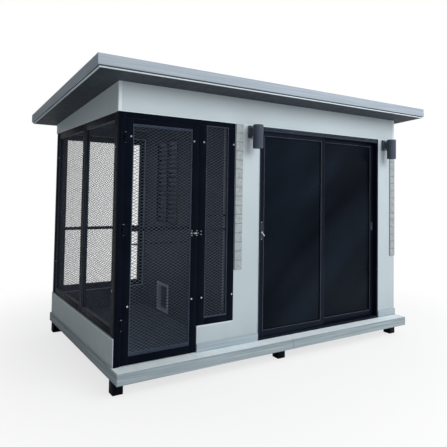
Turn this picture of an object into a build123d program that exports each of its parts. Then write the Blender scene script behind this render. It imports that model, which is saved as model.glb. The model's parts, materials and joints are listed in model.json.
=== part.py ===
"""Walk-in kennel and hutch: a wire run under the same roof as a closed room with a sliding door.

The house frame used below has its origin at the front left wall corner, on the deck:
X runs right along the front wall, Y runs back, Z runs up. All sizes are in millimetres.
Before export everything is moved so that the origin is the bottom centre of the whole object.
"""
from build123d import *
from math import atan, cos, degrees, sin, tan
import os

# ---- overall sizes -------------------------------------------------------------------------
LENGTH = 3440.0          # front wall, corner to corner
DEPTH = 1975.0           # front wall face to rear wall face
HEADER_Z = 2040.0        # underside of the headers above the deck
WALL = 90.0              # outer wall panels
PARTITION = 65.0         # wall between run and room
RUN_LENGTH = 1145.0      # left corner to the right face of the partition
KERB_H = 230.0           # low wall under the wire panels
FRAME_SETBACK = 12.0     # wire frames behind the face of the side and rear kerbs

# ---- base ----------------------------------------------------------------------------------
DECK_T = 18.0
DECK_EDGE = 1.0
LEDGE_FRONT = 145.0      # deck in front of the front wall
LEDGE_SIDE = 14.0        # deck beyond the other three walls
PLINTH_T = 10.0
PLINTH_JOINT_X = 1753.0  # where the two front plinth boards meet
PLINTH_JOINT_GAP = 2.0
CROSS_BEAM_W = 50.0
CROSS_BEAM_H = 35.0
LONG_BEAM_W = 80.0
LONG_BEAM_H = 35.0
BEAM_WALL = 3.0
CROSS_BEAM_COUNT = 7
FOOT = 88.0              # square foot tube
FOOT_WALL = 4.0
FOOT_H = 112.0
FOOT_PAD_H = 8.0
FOOT_INSET_X = 18.0      # from the ends of the deck
FOOT_INSET_FRONT = 130.0
FOOT_INSET_REAR = 14.0

# ---- roof ----------------------------------------------------------------------------------
ROOF_FALL = 0.07         # drop per length towards the rear
EAVE_FRONT = 270.0
EAVE_LEFT = 265.0
EAVE_RIGHT = 190.0
EAVE_REAR = 75.0
FASCIA_Z = 2320.0        # lower front edge of the front fascia
FASCIA_H = 85.0
FASCIA_T = 12.0
SOFFIT_T = 8.0
SOFFIT_GAP = 8.0         # shadow gap between fascia and soffit board
SOFFIT_INSET = 14.0
SOFFIT_EDGE = 1.0
ROOF_RAIL_W = 50.0
ROOF_RAIL_H = 60.0
ROOF_RAIL_WALL = 3.0
JOIST_COUNT = 5
SHEET_T = 1.0
RIB_H = 20.0
RIB_PITCH = 210.0
RIB_TOP_W = 25.0
RIB_BASE_W = 60.0
SHEET_DRIP = 4.0         # roof sheet past the rear fascia
FASCIA_REAR_DROP = 1.0   # rear fascia below the roof sheet

# ---- wire run ------------------------------------------------------------------------------
POST = 56.0
KERB_SKIN = 6.0          # kerb board that covers the foot of a post
TUBE_WALL = 2.5
TUBE_EDGE_R = 3.0
PANEL_DEPTH = 40.0
MESH_T = 1.5
MESH_BACK = 26.0         # mesh behind the front of its frame
DOOR_MESH_BACK = 12.0    # the same in the wire door
HEAD_H = 45.0            # head member over the wire door and the front panel
DOOR_GAP = 2.0
STRIKE_GAP = 5.0         # free edge of the wire door to the fixed front panel
DOOR_RIGHT_X = 757.0     # free edge of the wire door
DOOR_BOTTOM_Z = 6.0
DOOR_TOP_GAP = 5.0
DOOR_STILE = 68.0
DOOR_TOP_RAIL = 42.0
DOOR_BOTTOM_RAIL = 66.0
DOOR_BAR_Z = 1066.0      # flat cross bar, lower edge
DOOR_BAR_H = 38.0
DOOR_ROD_Z = 957.0       # narrow cross bar, lower edge
DOOR_ROD_H = 12.0
BAR_T = 5.0
FRONT_STILE = 73.0
FRONT_RAIL = 58.0
FRONT_ROD_LOW_Z = 1056.0
FRONT_ROD_HIGH_Z = 1179.0
SIDE_MULLION_Y = 930.0   # where the two side panels meet
SIDE_STILE = 50.0
SIDE_RAIL = 60.0
REAR_STILE = 50.0
REAR_RAIL = 60.0
REAR_ROD_Z = 930.0
REAR_ROD_H = 36.0

# ---- hinges, latch and screws of the wire door ------------------------------------------------
HINGE_Z = (327.0, 1085.0, 1830.0)
HINGE_LEN = 84.0
HINGE_PIN_R = 4.0
HINGE_KNUCKLE_R = 7.5
HINGE_LEAF_T = 3.0
HINGE_LEAF_W = 34.0
RUNNING_CLEARANCE = 0.05
KNUCKLE_END_GAP = 0.4
KNUCKLE_SIDE_GAP = 0.6
KNUCKLE_STANDOFF = 0.5   # knuckles in front of the frame face
KNUCKLE_WEB = 3.0        # metal between a knuckle and its leaf
LEAF_LAP = 0.5
PIN_BELOW = 2.0          # pin past the lowest knuckle
PIN_HEAD_R = 6.5
PIN_HEAD_H = 3.0
BOLT_Z = 1038.0
BOLT_R = 7.0
BOLT_STANDOFF = 12.0     # bolt axis in front of the door face
LATCH_PLATE_T = 3.0
LATCH_PLATE_EDGE = 0.8
LATCH_EDGE_GAP = 5.0     # latch plate from the free edge of the door
BOLT_TAIL = 8.0          # bolt past its plate at the left
BOLT_TIP_GAP = 1.0       # bolt tip inside the free edge, drawn back
BOLT_TIP_EDGE = 1.0
LATCH_PLATE_L = 60.0
LATCH_PLATE_H = 52.0
GUIDE_T = 8.0
GUIDE_INSET = 2.0        # guide from the end of its plate
GUIDE_R = 11.0
KNOB_R = 4.0
KNOB_LEN = 26.0
KNOB_BALL_R = 7.5
KEEPER_X_GAP = 11.0      # door edge to the keeper loop
KEEPER_L = 30.0
KEEPER_LIP = 4.0         # keeper plate before its loop
KEEPER_STEP = 6.0        # keeper plate shorter than the latch plate, at each end
KNOB_GAP = 1.0
SCREW_R = 6.5
SCREW_H = 3.5
SCREW_ROUND = 0.7        # share of the head height that is rounded
FRONT_SCREW_SHIFT = 8.0  # screw right of the middle of the front panel stile
DOOR_SCREW_Z = (469.0, 1842.0)
SCREW_EDGE = 17.0        # screw to the inner edge of a door stile
SIDE_SCREW_Z = (588.0, 1757.0)

# ---- sliding door ----------------------------------------------------------------------------
SLIDER_X0 = 1430.0
SLIDER_X1 = 3155.0
SLIDER_PROUD = 4.0
SLIDER_DEPTH = 100.0
SLIDER_EDGE = 1.0
HEAD_SLOT_ABOVE = 14.0   # head slot above the top of a sash
SILL_LIP_T = 4.0
SILL_BACK_RISE = 12.0    # rear sill lip above the rails
JAMB_W = 20.0
HEAD_PROFILE_H = 45.0
SILL_T = 12.0
SASH_T = 30.0
TRACK_CLEARANCE = 2.0
OUTER_TRACK_Y = 27.0     # centre of the outer sash
INNER_TRACK_Y = 69.0
SASH_W = 861.0
SASH_SIDE_GAP = 2.0
SASH_STILE = 50.0
SASH_TOP_RAIL = 60.0
SASH_BOTTOM_Z = 18.0
SASH_BOTTOM_RAIL = 66.0
SASH_HEAD_LAP = 17.0     # sash inside the head profile
GLASS_T = 6.0
GLASS_LAP = 8.0
RAIL_T = 3.0
RAIL_TOP_Z = 22.0
ROLLER_R = 12.0
ROLLER_W = 9.0
ROLLER_GAP = 0.3         # tread above the rail
ROLLER_AXLE_R = 3.0
ROLLER_INSET = 90.0
ROLLER_EDGE = 0.8
AXLE_END_GAP = 0.5
CHANNEL_W = 16.0         # roller channel in the bottom rail
CHANNEL_H = 34.0
AXLE_SKIN = 3.0          # metal left outside an axle bore
LOCK_X = 20.0            # lock centre from the sash edge
LOCK_W = 24.0
LOCK_H = 180.0
LOCK_Z = 1035.0
LOCK_T = 6.0
TURN_Z = 1020.0
TURN_BOSS_R = 9.0
TURN_BOSS_H = 10.0
TURN_SPINDLE_R = 4.0
TURN_LEVER_L = 46.0
TURN_LEVER_W = 10.0
TURN_LEVER_T = 5.0
SPINDLE_SKIN = 1.0       # plate left behind the spindle bore
SPINDLE_END_GAP = 0.5
TURN_GAP = 0.3           # boss in front of the plate
LEVER_DROP = 1.0         # lever behind the front of the boss
LEVER_ROUND = 0.45       # share of the lever width that is rounded
TURN_REST_DEG = 40.0     # lever from straight down, at rest
PULL_W = 22.0
PULL_H = 90.0
PULL_T = 5.0
PULL_RIM = 5.0           # rim beside the finger hollow
PULL_END = 10.0          # the same above and below it
PULL_FLOOR = 1.5

# ---- openings in the partition ---------------------------------------------------------------
WINDOW_Y0 = 1000.0
WINDOW_Y1 = 1540.0
WINDOW_Z0 = 1010.0
WINDOW_Z1 = 1990.0
WINDOW_FRAME_W = 30.0
WINDOW_MULLION_W = 24.0
WINDOW_FRAME_PROUD = 8.0
WINDOW_FRAME_DEPTH = 60.0
WINDOW_EDGE = 1.0
BLADE_COUNT = 18
BLADE_T = 4.0
BLADE_W = 50.0
BLADE_TILT = 38.0
PET_Y0 = 1200.0
PET_Y1 = 1435.0
PET_Z0 = 45.0
PET_Z1 = 325.0
PET_FLANGE = 20.0
PET_FLANGE_T = 8.0
PET_LINER_T = 6.0
FLAP_T = 6.0
FLAP_SIDE_GAP = 2.0
FLAP_BOTTOM_GAP = 6.0
FLAP_BAR_R = 6.0
FLAP_PIN_R = 3.0
FLAP_BORE_SKIN = 1.0     # liner left outside a pin bore
FLAP_PIN_END_GAP = 0.5
FLAP_AXIS_DROP = 12.0    # pin axis under the liner's roof

# ---- trim and lamps --------------------------------------------------------------------------
SKIRT_H = 74.0
SKIRT_T = 11.0
SKIRT_GAP = 1.0          # end of a skirting to the sliding door
SKIRT_EDGE = 1.0
TILE_W = 82.0
TILE_T = 12.0
TILE_Z0 = 689.0
TILE_COURSES = 16
TILE_GROOVE = 2.5
TILE_GROOVE_DEPTH = 3.0
TILE_LEFT_GAP = 3.0      # left strip from the front wire panel
LAMP_X = (1328.0, 3255.0)
LAMP_BASE_W = 80.0
LAMP_BASE_H = 117.0
LAMP_BASE_T = 22.0
LAMP_TOP_Z = 2033.0
LAMP_R = 49.0
LAMP_H = 220.0
LAMP_STANDOFF = 108.0    # cylinder axis in front of the wall
LAMP_NECK_R = 40.0
LAMP_RECESS_R = 44.0
LAMP_RECESS_DEPTH = 16.0
LAMP_LENS_T = 4.0
LAMP_LENS_GAP = 0.3      # lens inside its recess
LAMP_BASE_EDGE = 2.0

PITCH = atan(ROOF_FALL)
DECK_X0 = -LEDGE_SIDE
DECK_X1 = LENGTH + LEDGE_SIDE
DECK_Y0 = -LEDGE_FRONT
DECK_Y1 = DEPTH + LEDGE_SIDE
PARTITION_X0 = RUN_LENGTH - PARTITION
FRONT_PANEL_X0 = DOOR_RIGHT_X + STRIKE_GAP
CUT_PAST = 1.0           # how far a cutter runs past a face
parts = {}


def block(x0, x1, y0, y1, z0, z1):
    """A plain box between two corners."""
    size = (x1 - x0, y1 - y0, z1 - z0)
    middle = ((x0 + x1) / 2, (y0 + y1) / 2, (z0 + z1) / 2)
    return Pos(*middle) * Box(*size)


def board(x0, x1, y0, y1, z0, z1, edge=1.5):
    """A box with its edges broken."""
    solid = block(x0, x1, y0, y1, z0, z1)
    return chamfer(solid.edges(), edge)


def tube(x0, x1, y0, y1, z0, z1, axis, wall=TUBE_WALL, edge=TUBE_EDGE_R):
    """A square or rectangular hollow section, open at both ends along its axis."""
    outer = block(x0, x1, y0, y1, z0, z1)
    outer = fillet(outer.edges().filter_by(axis), edge)
    grow = [0 if axis == a else -wall for a in (Axis.X, Axis.Y, Axis.Z)]
    inner = block(x0 - grow[0], x1 + grow[0], y0 - grow[1], y1 + grow[1], z0 - grow[2], z1 + grow[2])
    return outer - inner


def rod(start, direction, radius, length):
    """A cylinder from a start point along a direction."""
    plane = Plane(origin=start, z_dir=direction)
    return plane * Cylinder(radius, length, align=(Align.CENTER, Align.CENTER, Align.MIN))


def side_shape(points, x0, x1):
    """A YZ outline carried along X from x0 to x1."""
    outline = Plane(origin=(x0, 0, 0), x_dir=(0, 1, 0), z_dir=(1, 0, 0))
    face = make_face(Polyline(*[outline.from_local_coords((y, z, 0)) for y, z in points], close=True))
    return extrude(face, x1 - x0, dir=(1, 0, 0))


def soffit_z(y):
    """Height of the soffit board's underside at depth y."""
    return FASCIA_Z - tan(PITCH) * (y + EAVE_FRONT) - (SOFFIT_GAP + SOFFIT_T) / cos(PITCH)


def sloped_wall(x0, x1, y0, y1, z0):
    """A wall from z0 up to the soffit, with its top cut to the slope of the roof."""
    return side_shape([(y0, z0), (y1, z0), (y1, soffit_z(y1)), (y0, soffit_z(y0))], x0, x1)


def group(*solids):
    """Several separate solids of one node."""
    return Compound([s for item in solids for s in item.solids()])


def wire_frame(u0, u1, z0, z1, stile, bottom_rail, top_rail, along_x, face):
    """Two stiles with rails between them, for a panel along X or along Y.

    face is the outer face of the frame: its lowest Y for a front panel (or the depth range
    given as a pair), and PANEL_DEPTH is its thickness.
    """
    def member(a0, a1, b0, b1, axis_name):
        if along_x:
            axis = Axis.X if axis_name == "run" else Axis.Z
            return tube(a0, a1, face, face + PANEL_DEPTH, b0, b1, axis)
        axis = Axis.Y if axis_name == "run" else Axis.Z
        return tube(face, face + PANEL_DEPTH, a0, a1, b0, b1, axis)

    members = [member(u0, u0 + stile, z0, z1, "up"), member(u1 - stile, u1, z0, z1, "up")]
    members.append(member(u0 + stile, u1 - stile, z0, z0 + bottom_rail, "run"))
    if top_rail:
        members.append(member(u0 + stile, u1 - stile, z1 - top_rail, z1, "run"))
    return members


# ============================ base ============================
def make_base():
    x0, x1 = DECK_X0 + PLINTH_T, DECK_X1 - PLINTH_T
    y0, y1 = DECK_Y0 + PLINTH_T, DECK_Y1 - PLINTH_T
    cross_z = -DECK_T - CROSS_BEAM_H
    long_z = cross_z - LONG_BEAM_H
    parts["floor_deck"] = board(x0, x1, y0, y1, -DECK_T, 0, DECK_EDGE)

    foot_x = [DECK_X0 + FOOT_INSET_X, (DECK_X0 + DECK_X1 - FOOT) / 2, DECK_X1 - FOOT_INSET_X - FOOT]
    foot_y = [DECK_Y0 + FOOT_INSET_FRONT, DECK_Y1 - FOOT_INSET_REAR - FOOT]
    beams = []
    for fy in foot_y:
        by = fy + (FOOT - LONG_BEAM_W) / 2
        beams.append(tube(x0, x1, by, by + LONG_BEAM_W, long_z, cross_z, Axis.X, BEAM_WALL))
    step = (x1 - x0 - CROSS_BEAM_W) / (CROSS_BEAM_COUNT - 1)
    for i in range(CROSS_BEAM_COUNT):
        bx = x0 + i * step
        beams.append(tube(bx, bx + CROSS_BEAM_W, y0, y1, cross_z, -DECK_T, Axis.Y, BEAM_WALL))
    parts["skid_frame"] = group(*beams)

    feet, pads = [], []
    for fx in foot_x:
        for fy in foot_y:
            feet.append(tube(fx, fx + FOOT, fy, fy + FOOT, long_z - FOOT_H, long_z, Axis.Z, FOOT_WALL))
            pads.append(board(fx, fx + FOOT, fy, fy + FOOT, long_z - FOOT_H - FOOT_PAD_H, long_z - FOOT_H))
    parts["feet"] = group(*feet)
    parts["foot_pads"] = group(*pads)

    half_gap = PLINTH_JOINT_GAP / 2
    parts["plinth_boards"] = group(
        board(DECK_X0, PLINTH_JOINT_X - half_gap, DECK_Y0, y0, long_z, 0),
        board(PLINTH_JOINT_X + half_gap, DECK_X1, DECK_Y0, y0, long_z, 0),
        board(DECK_X0, x0, y0, y1, long_z, 0),
        board(x1, DECK_X1, y0, y1, long_z, 0),
        board(DECK_X0, DECK_X1, y1, DECK_Y1, long_z, 0),
    )


# ============================ walls ============================
def make_walls():
    rear = DEPTH - WALL
    parts["header_front"] = sloped_wall(0, LENGTH, 0, WALL, HEADER_Z)
    parts["header_left"] = sloped_wall(0, WALL, WALL, rear, HEADER_Z)
    parts["header_rear"] = sloped_wall(0, PARTITION_X0, rear, DEPTH, HEADER_Z)

    notch = KERB_SKIN + POST + DOOR_GAP
    kerb = block(0, WALL, 0, DEPTH, 0, KERB_H)
    kerb -= block(KERB_SKIN, WALL, 0, POST + DOOR_GAP, 0, KERB_H)
    kerb -= block(KERB_SKIN, notch, DEPTH - POST - KERB_SKIN, DEPTH - KERB_SKIN, 0, KERB_H)
    kerb -= block(notch, WALL, DEPTH - WALL, DEPTH, 0, KERB_H)
    parts["kerb_left"] = kerb
    parts["kerb_rear"] = block(notch, PARTITION_X0, rear, DEPTH, 0, KERB_H)
    parts["kerb_front"] = block(FRONT_PANEL_X0, RUN_LENGTH, 0, WALL, 0, KERB_H)

    parts["pier_left"] = block(RUN_LENGTH, SLIDER_X0, 0, WALL, 0, HEADER_Z)
    parts["pier_right"] = block(SLIDER_X1, LENGTH, 0, WALL, 0, HEADER_Z)
    parts["wall_right"] = sloped_wall(LENGTH - WALL, LENGTH, WALL, DEPTH, 0)
    parts["wall_rear"] = sloped_wall(PARTITION_X0, LENGTH - WALL, rear, DEPTH, 0)

    outline = [(WALL, 0), (rear, 0), (rear, soffit_z(rear)), (WALL, soffit_z(WALL))]
    wall = side_shape(outline, PARTITION_X0, RUN_LENGTH)
    wall -= block(PARTITION_X0, RUN_LENGTH, WINDOW_Y0, WINDOW_Y1, WINDOW_Z0, WINDOW_Z1)
    wall -= block(PARTITION_X0, RUN_LENGTH, PET_Y0, PET_Y1, PET_Z0, PET_Z1)
    parts["partition"] = wall

    parts["skirting_boards"] = group(
        board(FRONT_PANEL_X0, SLIDER_X0 - SKIRT_GAP, -SKIRT_T, 0, 0, SKIRT_H, SKIRT_EDGE),
        board(SLIDER_X1 + SKIRT_GAP, LENGTH + SKIRT_T, -SKIRT_T, 0, 0, SKIRT_H, SKIRT_EDGE),
        board(LENGTH, LENGTH + SKIRT_T, 0, DEPTH, 0, SKIRT_H, SKIRT_EDGE),
        board(RUN_LENGTH, LENGTH + SKIRT_T, DEPTH, DEPTH + SKIRT_T, 0, SKIRT_H, SKIRT_EDGE),
    )

    strips = []
    course = (HEADER_Z - TILE_Z0) / TILE_COURSES
    for x0 in (RUN_LENGTH + TILE_LEFT_GAP, LENGTH - TILE_W):
        strip = block(x0, x0 + TILE_W, -TILE_T, 0, TILE_Z0, HEADER_Z)
        for i in range(1, TILE_COURSES):
            z = TILE_Z0 + i * course
            groove_y = -TILE_T + TILE_GROOVE_DEPTH
            strip -= block(x0, x0 + TILE_W, -TILE_T, groove_y, z - TILE_GROOVE / 2, z + TILE_GROOVE / 2)
        strips.append(strip)
    parts["tile_strips"] = group(*strips)


# ============================ roof ============================
def make_roof():
    width = EAVE_LEFT + LENGTH + EAVE_RIGHT
    slope = (DEPTH + EAVE_FRONT + EAVE_REAR) / cos(PITCH)
    place = Location((-EAVE_LEFT, -EAVE_FRONT, FASCIA_Z), (-degrees(PITCH), 0, 0))
    rail_top = ROOF_RAIL_H - SOFFIT_GAP
    rail_low = -SOFFIT_GAP

    rear_h = rail_top - FASCIA_REAR_DROP
    parts["fascia_boards"] = place * group(
        board(0, width, 0, FASCIA_T, 0, FASCIA_H),
        board(0, FASCIA_T, FASCIA_T, slope, 0, FASCIA_H),
        board(width - FASCIA_T, width, FASCIA_T, slope, 0, FASCIA_H),
        board(FASCIA_T, width - FASCIA_T, slope - FASCIA_T, slope, 0, rear_h),
    )
    inset = SOFFIT_INSET
    soffit_top = -SOFFIT_GAP
    parts["soffit_board"] = place * board(
        inset, width - inset, inset, slope - inset, soffit_top - SOFFIT_T, soffit_top, SOFFIT_EDGE
    )

    x0, x1 = FASCIA_T, width - FASCIA_T
    y0, y1 = FASCIA_T, slope - FASCIA_T
    bay_y0, bay_y1 = y0 + ROOF_RAIL_W, y1 - ROOF_RAIL_W
    members = [
        tube(x0, x1, y0, bay_y0, rail_low, rail_top, Axis.X, ROOF_RAIL_WALL),
        tube(x0, x1, bay_y1, y1, rail_low, rail_top, Axis.X, ROOF_RAIL_WALL),
    ]
    step = (x1 - x0 - ROOF_RAIL_W) / (JOIST_COUNT + 1)
    for i in range(JOIST_COUNT + 2):
        x = x0 + i * step
        members.append(tube(x, x + ROOF_RAIL_W, bay_y0, bay_y1, rail_low, rail_top, Axis.Y, ROOF_RAIL_WALL))
    parts["roof_frame"] = place * group(*members)

    top = [(FASCIA_T, 0)]
    span = width - 2 * FASCIA_T
    count = int(span // RIB_PITCH)
    first = (width - (count - 1) * RIB_PITCH) / 2
    for i in range(count):
        x = first + i * RIB_PITCH
        foot, crest = RIB_BASE_W / 2, RIB_TOP_W / 2
        top += [(x - foot, 0), (x - crest, RIB_H), (x + crest, RIB_H), (x + foot, 0)]
    top.append((width - FASCIA_T, 0))
    loop = [(x, z) for x, z in top] + [(x, z + SHEET_T) for x, z in reversed(top)]
    profile = Plane(origin=(0, FASCIA_T, rail_top), x_dir=(1, 0, 0), z_dir=(0, -1, 0))
    face = make_face(Polyline(*[profile.from_local_coords((x, z, 0)) for x, z in loop], close=True))
    parts["roof_sheet"] = place * extrude(face, slope - FASCIA_T + SHEET_DRIP, dir=(0, 1, 0))


# ============================ wire run ============================
def make_run():
    right = PARTITION_X0
    post_x0, post_x1 = KERB_SKIN, KERB_SKIN + POST
    parts["run_posts"] = group(
        tube(post_x0, post_x1, 0, POST, 0, HEADER_Z, Axis.Z),
        tube(post_x0, post_x1, DEPTH - KERB_SKIN - POST, DEPTH - KERB_SKIN, 0, HEADER_Z, Axis.Z),
    )
    parts["front_head"] = tube(post_x1, RUN_LENGTH, 0, POST, HEADER_Z - HEAD_H, HEADER_Z, Axis.X)

    y0, y1 = POST, DEPTH - KERB_SKIN - POST
    face = FRAME_SETBACK
    side = wire_frame(y0, SIDE_MULLION_Y, KERB_H, HEADER_Z, SIDE_STILE, SIDE_RAIL, SIDE_RAIL, False, face)
    side += wire_frame(SIDE_MULLION_Y, y1, KERB_H, HEADER_Z, SIDE_STILE, SIDE_RAIL, SIDE_RAIL, False, face)
    parts["side_panel_frames"] = group(*side)
    sheet_x = face + MESH_BACK
    sheet_z0, sheet_z1 = KERB_H + SIDE_RAIL, HEADER_Z - SIDE_RAIL
    parts["side_mesh"] = group(
        block(sheet_x, sheet_x + MESH_T, y0 + SIDE_STILE, SIDE_MULLION_Y - SIDE_STILE, sheet_z0, sheet_z1),
        block(sheet_x, sheet_x + MESH_T, SIDE_MULLION_Y + SIDE_STILE, y1 - SIDE_STILE, sheet_z0, sheet_z1),
    )

    face = DEPTH - FRAME_SETBACK - PANEL_DEPTH
    x0 = post_x1
    rear = wire_frame(x0, right, KERB_H, HEADER_Z, REAR_STILE, REAR_RAIL, REAR_RAIL, True, face)
    sheet_y = DEPTH - FRAME_SETBACK - MESH_BACK
    inner_x0, inner_x1 = x0 + REAR_STILE, right - REAR_STILE
    bar_y = sheet_y - BAR_T
    rear.append(block(inner_x0, inner_x1, bar_y, sheet_y, REAR_ROD_Z, REAR_ROD_Z + REAR_ROD_H))
    parts["rear_panel_frame"] = group(*rear)
    parts["rear_mesh"] = block(
        inner_x0, inner_x1, sheet_y, sheet_y + MESH_T, KERB_H + REAR_RAIL, HEADER_Z - REAR_RAIL
    )

    x0, x1 = FRONT_PANEL_X0, RUN_LENGTH
    top = HEADER_Z - HEAD_H
    front = wire_frame(x0, x1, KERB_H, top, FRONT_STILE, FRONT_RAIL, 0, True, 0)
    inner_x0, inner_x1 = x0 + FRONT_STILE, x1 - FRONT_STILE
    bar_y = MESH_BACK + MESH_T
    for z in (FRONT_ROD_LOW_Z, FRONT_ROD_HIGH_Z):
        front.append(block(inner_x0, inner_x1, bar_y, bar_y + BAR_T, z, z + DOOR_ROD_H))
    parts["front_panel_frame"] = group(*front)
    parts["front_mesh"] = block(inner_x0, inner_x1, MESH_BACK, MESH_BACK + MESH_T, KERB_H + FRONT_RAIL, top)


# ============================ wire door ============================
DOOR_X0 = KERB_SKIN + POST + DOOR_GAP
DOOR_TOP_Z = HEADER_Z - HEAD_H - DOOR_TOP_GAP
HINGE_X = KERB_SKIN + POST + DOOR_GAP / 2
HINGE_Y = -HINGE_KNUCKLE_R - KNUCKLE_STANDOFF
BOLT_Y = -BOLT_STANDOFF


def make_door():
    members = wire_frame(
        DOOR_X0, DOOR_RIGHT_X, DOOR_BOTTOM_Z, DOOR_TOP_Z, DOOR_STILE, DOOR_BOTTOM_RAIL, DOOR_TOP_RAIL, True, 0
    )
    x0, x1 = DOOR_X0 + DOOR_STILE, DOOR_RIGHT_X - DOOR_STILE
    z0, z1 = DOOR_BOTTOM_Z + DOOR_BOTTOM_RAIL, DOOR_TOP_Z - DOOR_TOP_RAIL
    parts["door_mesh"] = block(x0, x1, DOOR_MESH_BACK, DOOR_MESH_BACK + MESH_T, z0, z1)
    bar_y = DOOR_MESH_BACK + MESH_T
    for z, height in ((DOOR_BAR_Z, DOOR_BAR_H), (DOOR_ROD_Z, DOOR_ROD_H)):
        members.append(block(x0, x1, bar_y, bar_y + BAR_T, z, z + height))
    parts["door_frame"] = group(*members)


def hinge_leaf(z, side, knuckles):
    """One hinge leaf: a plate on the frame's face, with knuckles given as (low, high) heights."""
    def plate_block(near, far, y0, y1, z0, z1):
        """A block measured sideways from the pin, on this leaf's side."""
        xs = sorted((HINGE_X + side * near, HINGE_X + side * far))
        return block(xs[0], xs[1], y0, y1, z0, z1)

    gap = KNUCKLE_END_GAP / 2
    pin_low = (HINGE_X, HINGE_Y, z - CUT_PAST)
    leaf = plate_block(DOOR_GAP / 2 + LEAF_LAP, HINGE_LEAF_W, -HINGE_LEAF_T, 0, z, z + HINGE_LEN)
    leaf -= rod(pin_low, (0, 0, 1), HINGE_KNUCKLE_R + KNUCKLE_SIDE_GAP, HINGE_LEN + 2 * CUT_PAST)
    for low, high in knuckles:
        z0, z1 = z + low + gap, z + high - gap
        leaf += rod((HINGE_X, HINGE_Y, z0), (0, 0, 1), HINGE_KNUCKLE_R, z1 - z0)
        leaf += plate_block(0, HINGE_KNUCKLE_R + KNUCKLE_WEB, HINGE_Y, LEAF_LAP - HINGE_LEAF_T, z0, z1)
    return leaf - rod(pin_low, (0, 0, 1), HINGE_PIN_R + RUNNING_CLEARANCE, HINGE_LEN + 2 * CUT_PAST)


def make_hinges():
    third = HINGE_LEN / 3
    fixed, moving, pins = [], [], []
    for centre in HINGE_Z:
        z = centre - HINGE_LEN / 2
        fixed.append(hinge_leaf(z, -1, [(0, third), (2 * third, HINGE_LEN)]))
        moving.append(hinge_leaf(z, 1, [(third, 2 * third)]))
        pin = rod((HINGE_X, HINGE_Y, z - PIN_BELOW), (0, 0, 1), HINGE_PIN_R, HINGE_LEN + PIN_BELOW)
        head_z = z + HINGE_LEN - KNUCKLE_END_GAP / 2
        pins.append(pin + rod((HINGE_X, HINGE_Y, head_z), (0, 0, 1), PIN_HEAD_R, PIN_HEAD_H))
    parts["hinge_leaves_post"] = group(*fixed)
    parts["hinge_leaves_door"] = group(*moving)
    parts["hinge_pins"] = group(*pins)


def bolt_guide(x0, x1):
    """A block with a round top that carries the bolt, standing on a plate of the frame's face."""
    foot_z0, foot_z1 = BOLT_Z - GUIDE_R, BOLT_Z + GUIDE_R
    guide = block(x0, x1, BOLT_Y, -LATCH_PLATE_T, foot_z0, foot_z1)
    guide += rod((x0, BOLT_Y, BOLT_Z), (1, 0, 0), GUIDE_R, x1 - x0)
    length = x1 - x0 + 2 * CUT_PAST
    return guide - rod((x0 - CUT_PAST, BOLT_Y, BOLT_Z), (1, 0, 0), BOLT_R + RUNNING_CLEARANCE, length)


def make_latch():
    edge = DOOR_RIGHT_X - LATCH_EDGE_GAP
    x0 = edge - LATCH_PLATE_L
    z0, z1 = BOLT_Z - LATCH_PLATE_H / 2, BOLT_Z + LATCH_PLATE_H / 2
    near, far = x0 + GUIDE_INSET, edge - GUIDE_INSET
    base = board(x0, edge, -LATCH_PLATE_T, 0, z0, z1, LATCH_PLATE_EDGE)
    base += bolt_guide(near, near + GUIDE_T)
    base += bolt_guide(far - GUIDE_T, far)
    parts["latch_base"] = base

    tip, tail = DOOR_RIGHT_X - BOLT_TIP_GAP, x0 - BOLT_TAIL
    bolt = rod((tail, BOLT_Y, BOLT_Z), (1, 0, 0), BOLT_R, tip - tail)
    bolt = chamfer(bolt.edges(), BOLT_TIP_EDGE)
    knob_x = near + GUIDE_T + KNOB_R + KNOB_GAP
    bolt += rod((knob_x, BOLT_Y, BOLT_Z), (0, -1, 0), KNOB_R, KNOB_LEN)
    bolt += Pos(knob_x, BOLT_Y - KNOB_LEN, BOLT_Z) * Sphere(KNOB_BALL_R)
    parts["latch_bolt"] = bolt

    kx0 = DOOR_RIGHT_X + KEEPER_X_GAP
    plate_z0, plate_z1 = z0 + KEEPER_STEP, z1 - KEEPER_STEP
    keeper = board(kx0 - KEEPER_LIP, kx0 + KEEPER_L, -LATCH_PLATE_T, 0, plate_z0, plate_z1, LATCH_PLATE_EDGE)
    keeper += bolt_guide(kx0, kx0 + GUIDE_T)
    parts["latch_keeper"] = keeper


def screw_head(point, direction):
    """A low round screw head on a face."""
    head = rod(point, direction, SCREW_R, SCREW_H)
    tip = head.edges().filter_by(GeomType.CIRCLE).sort_by(lambda e: Vector(*direction).dot(e.center()))[-1]
    return fillet(tip, SCREW_H * SCREW_ROUND)


def make_screws():
    left = DOOR_X0 + DOOR_STILE - SCREW_EDGE
    right = DOOR_RIGHT_X - DOOR_STILE + SCREW_EDGE
    heads = [screw_head((x, 0, z), (0, -1, 0)) for x in (left, right) for z in DOOR_SCREW_Z]
    parts["door_screws"] = group(*heads)
    x0 = FRONT_PANEL_X0 + FRONT_STILE / 2 + FRONT_SCREW_SHIFT
    x1 = RUN_LENGTH - SCREW_EDGE
    heads = [screw_head((x, 0, z), (0, -1, 0)) for x in (x0, x1) for z in DOOR_SCREW_Z]
    side_y = (POST + SIDE_STILE / 2, SIDE_MULLION_Y + SIDE_STILE / 2, DEPTH - KERB_SKIN - POST - SIDE_STILE / 2)
    heads += [screw_head((FRAME_SETBACK, y, z), (-1, 0, 0)) for y in side_y for z in SIDE_SCREW_Z]
    parts["frame_screws"] = group(*heads)


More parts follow.
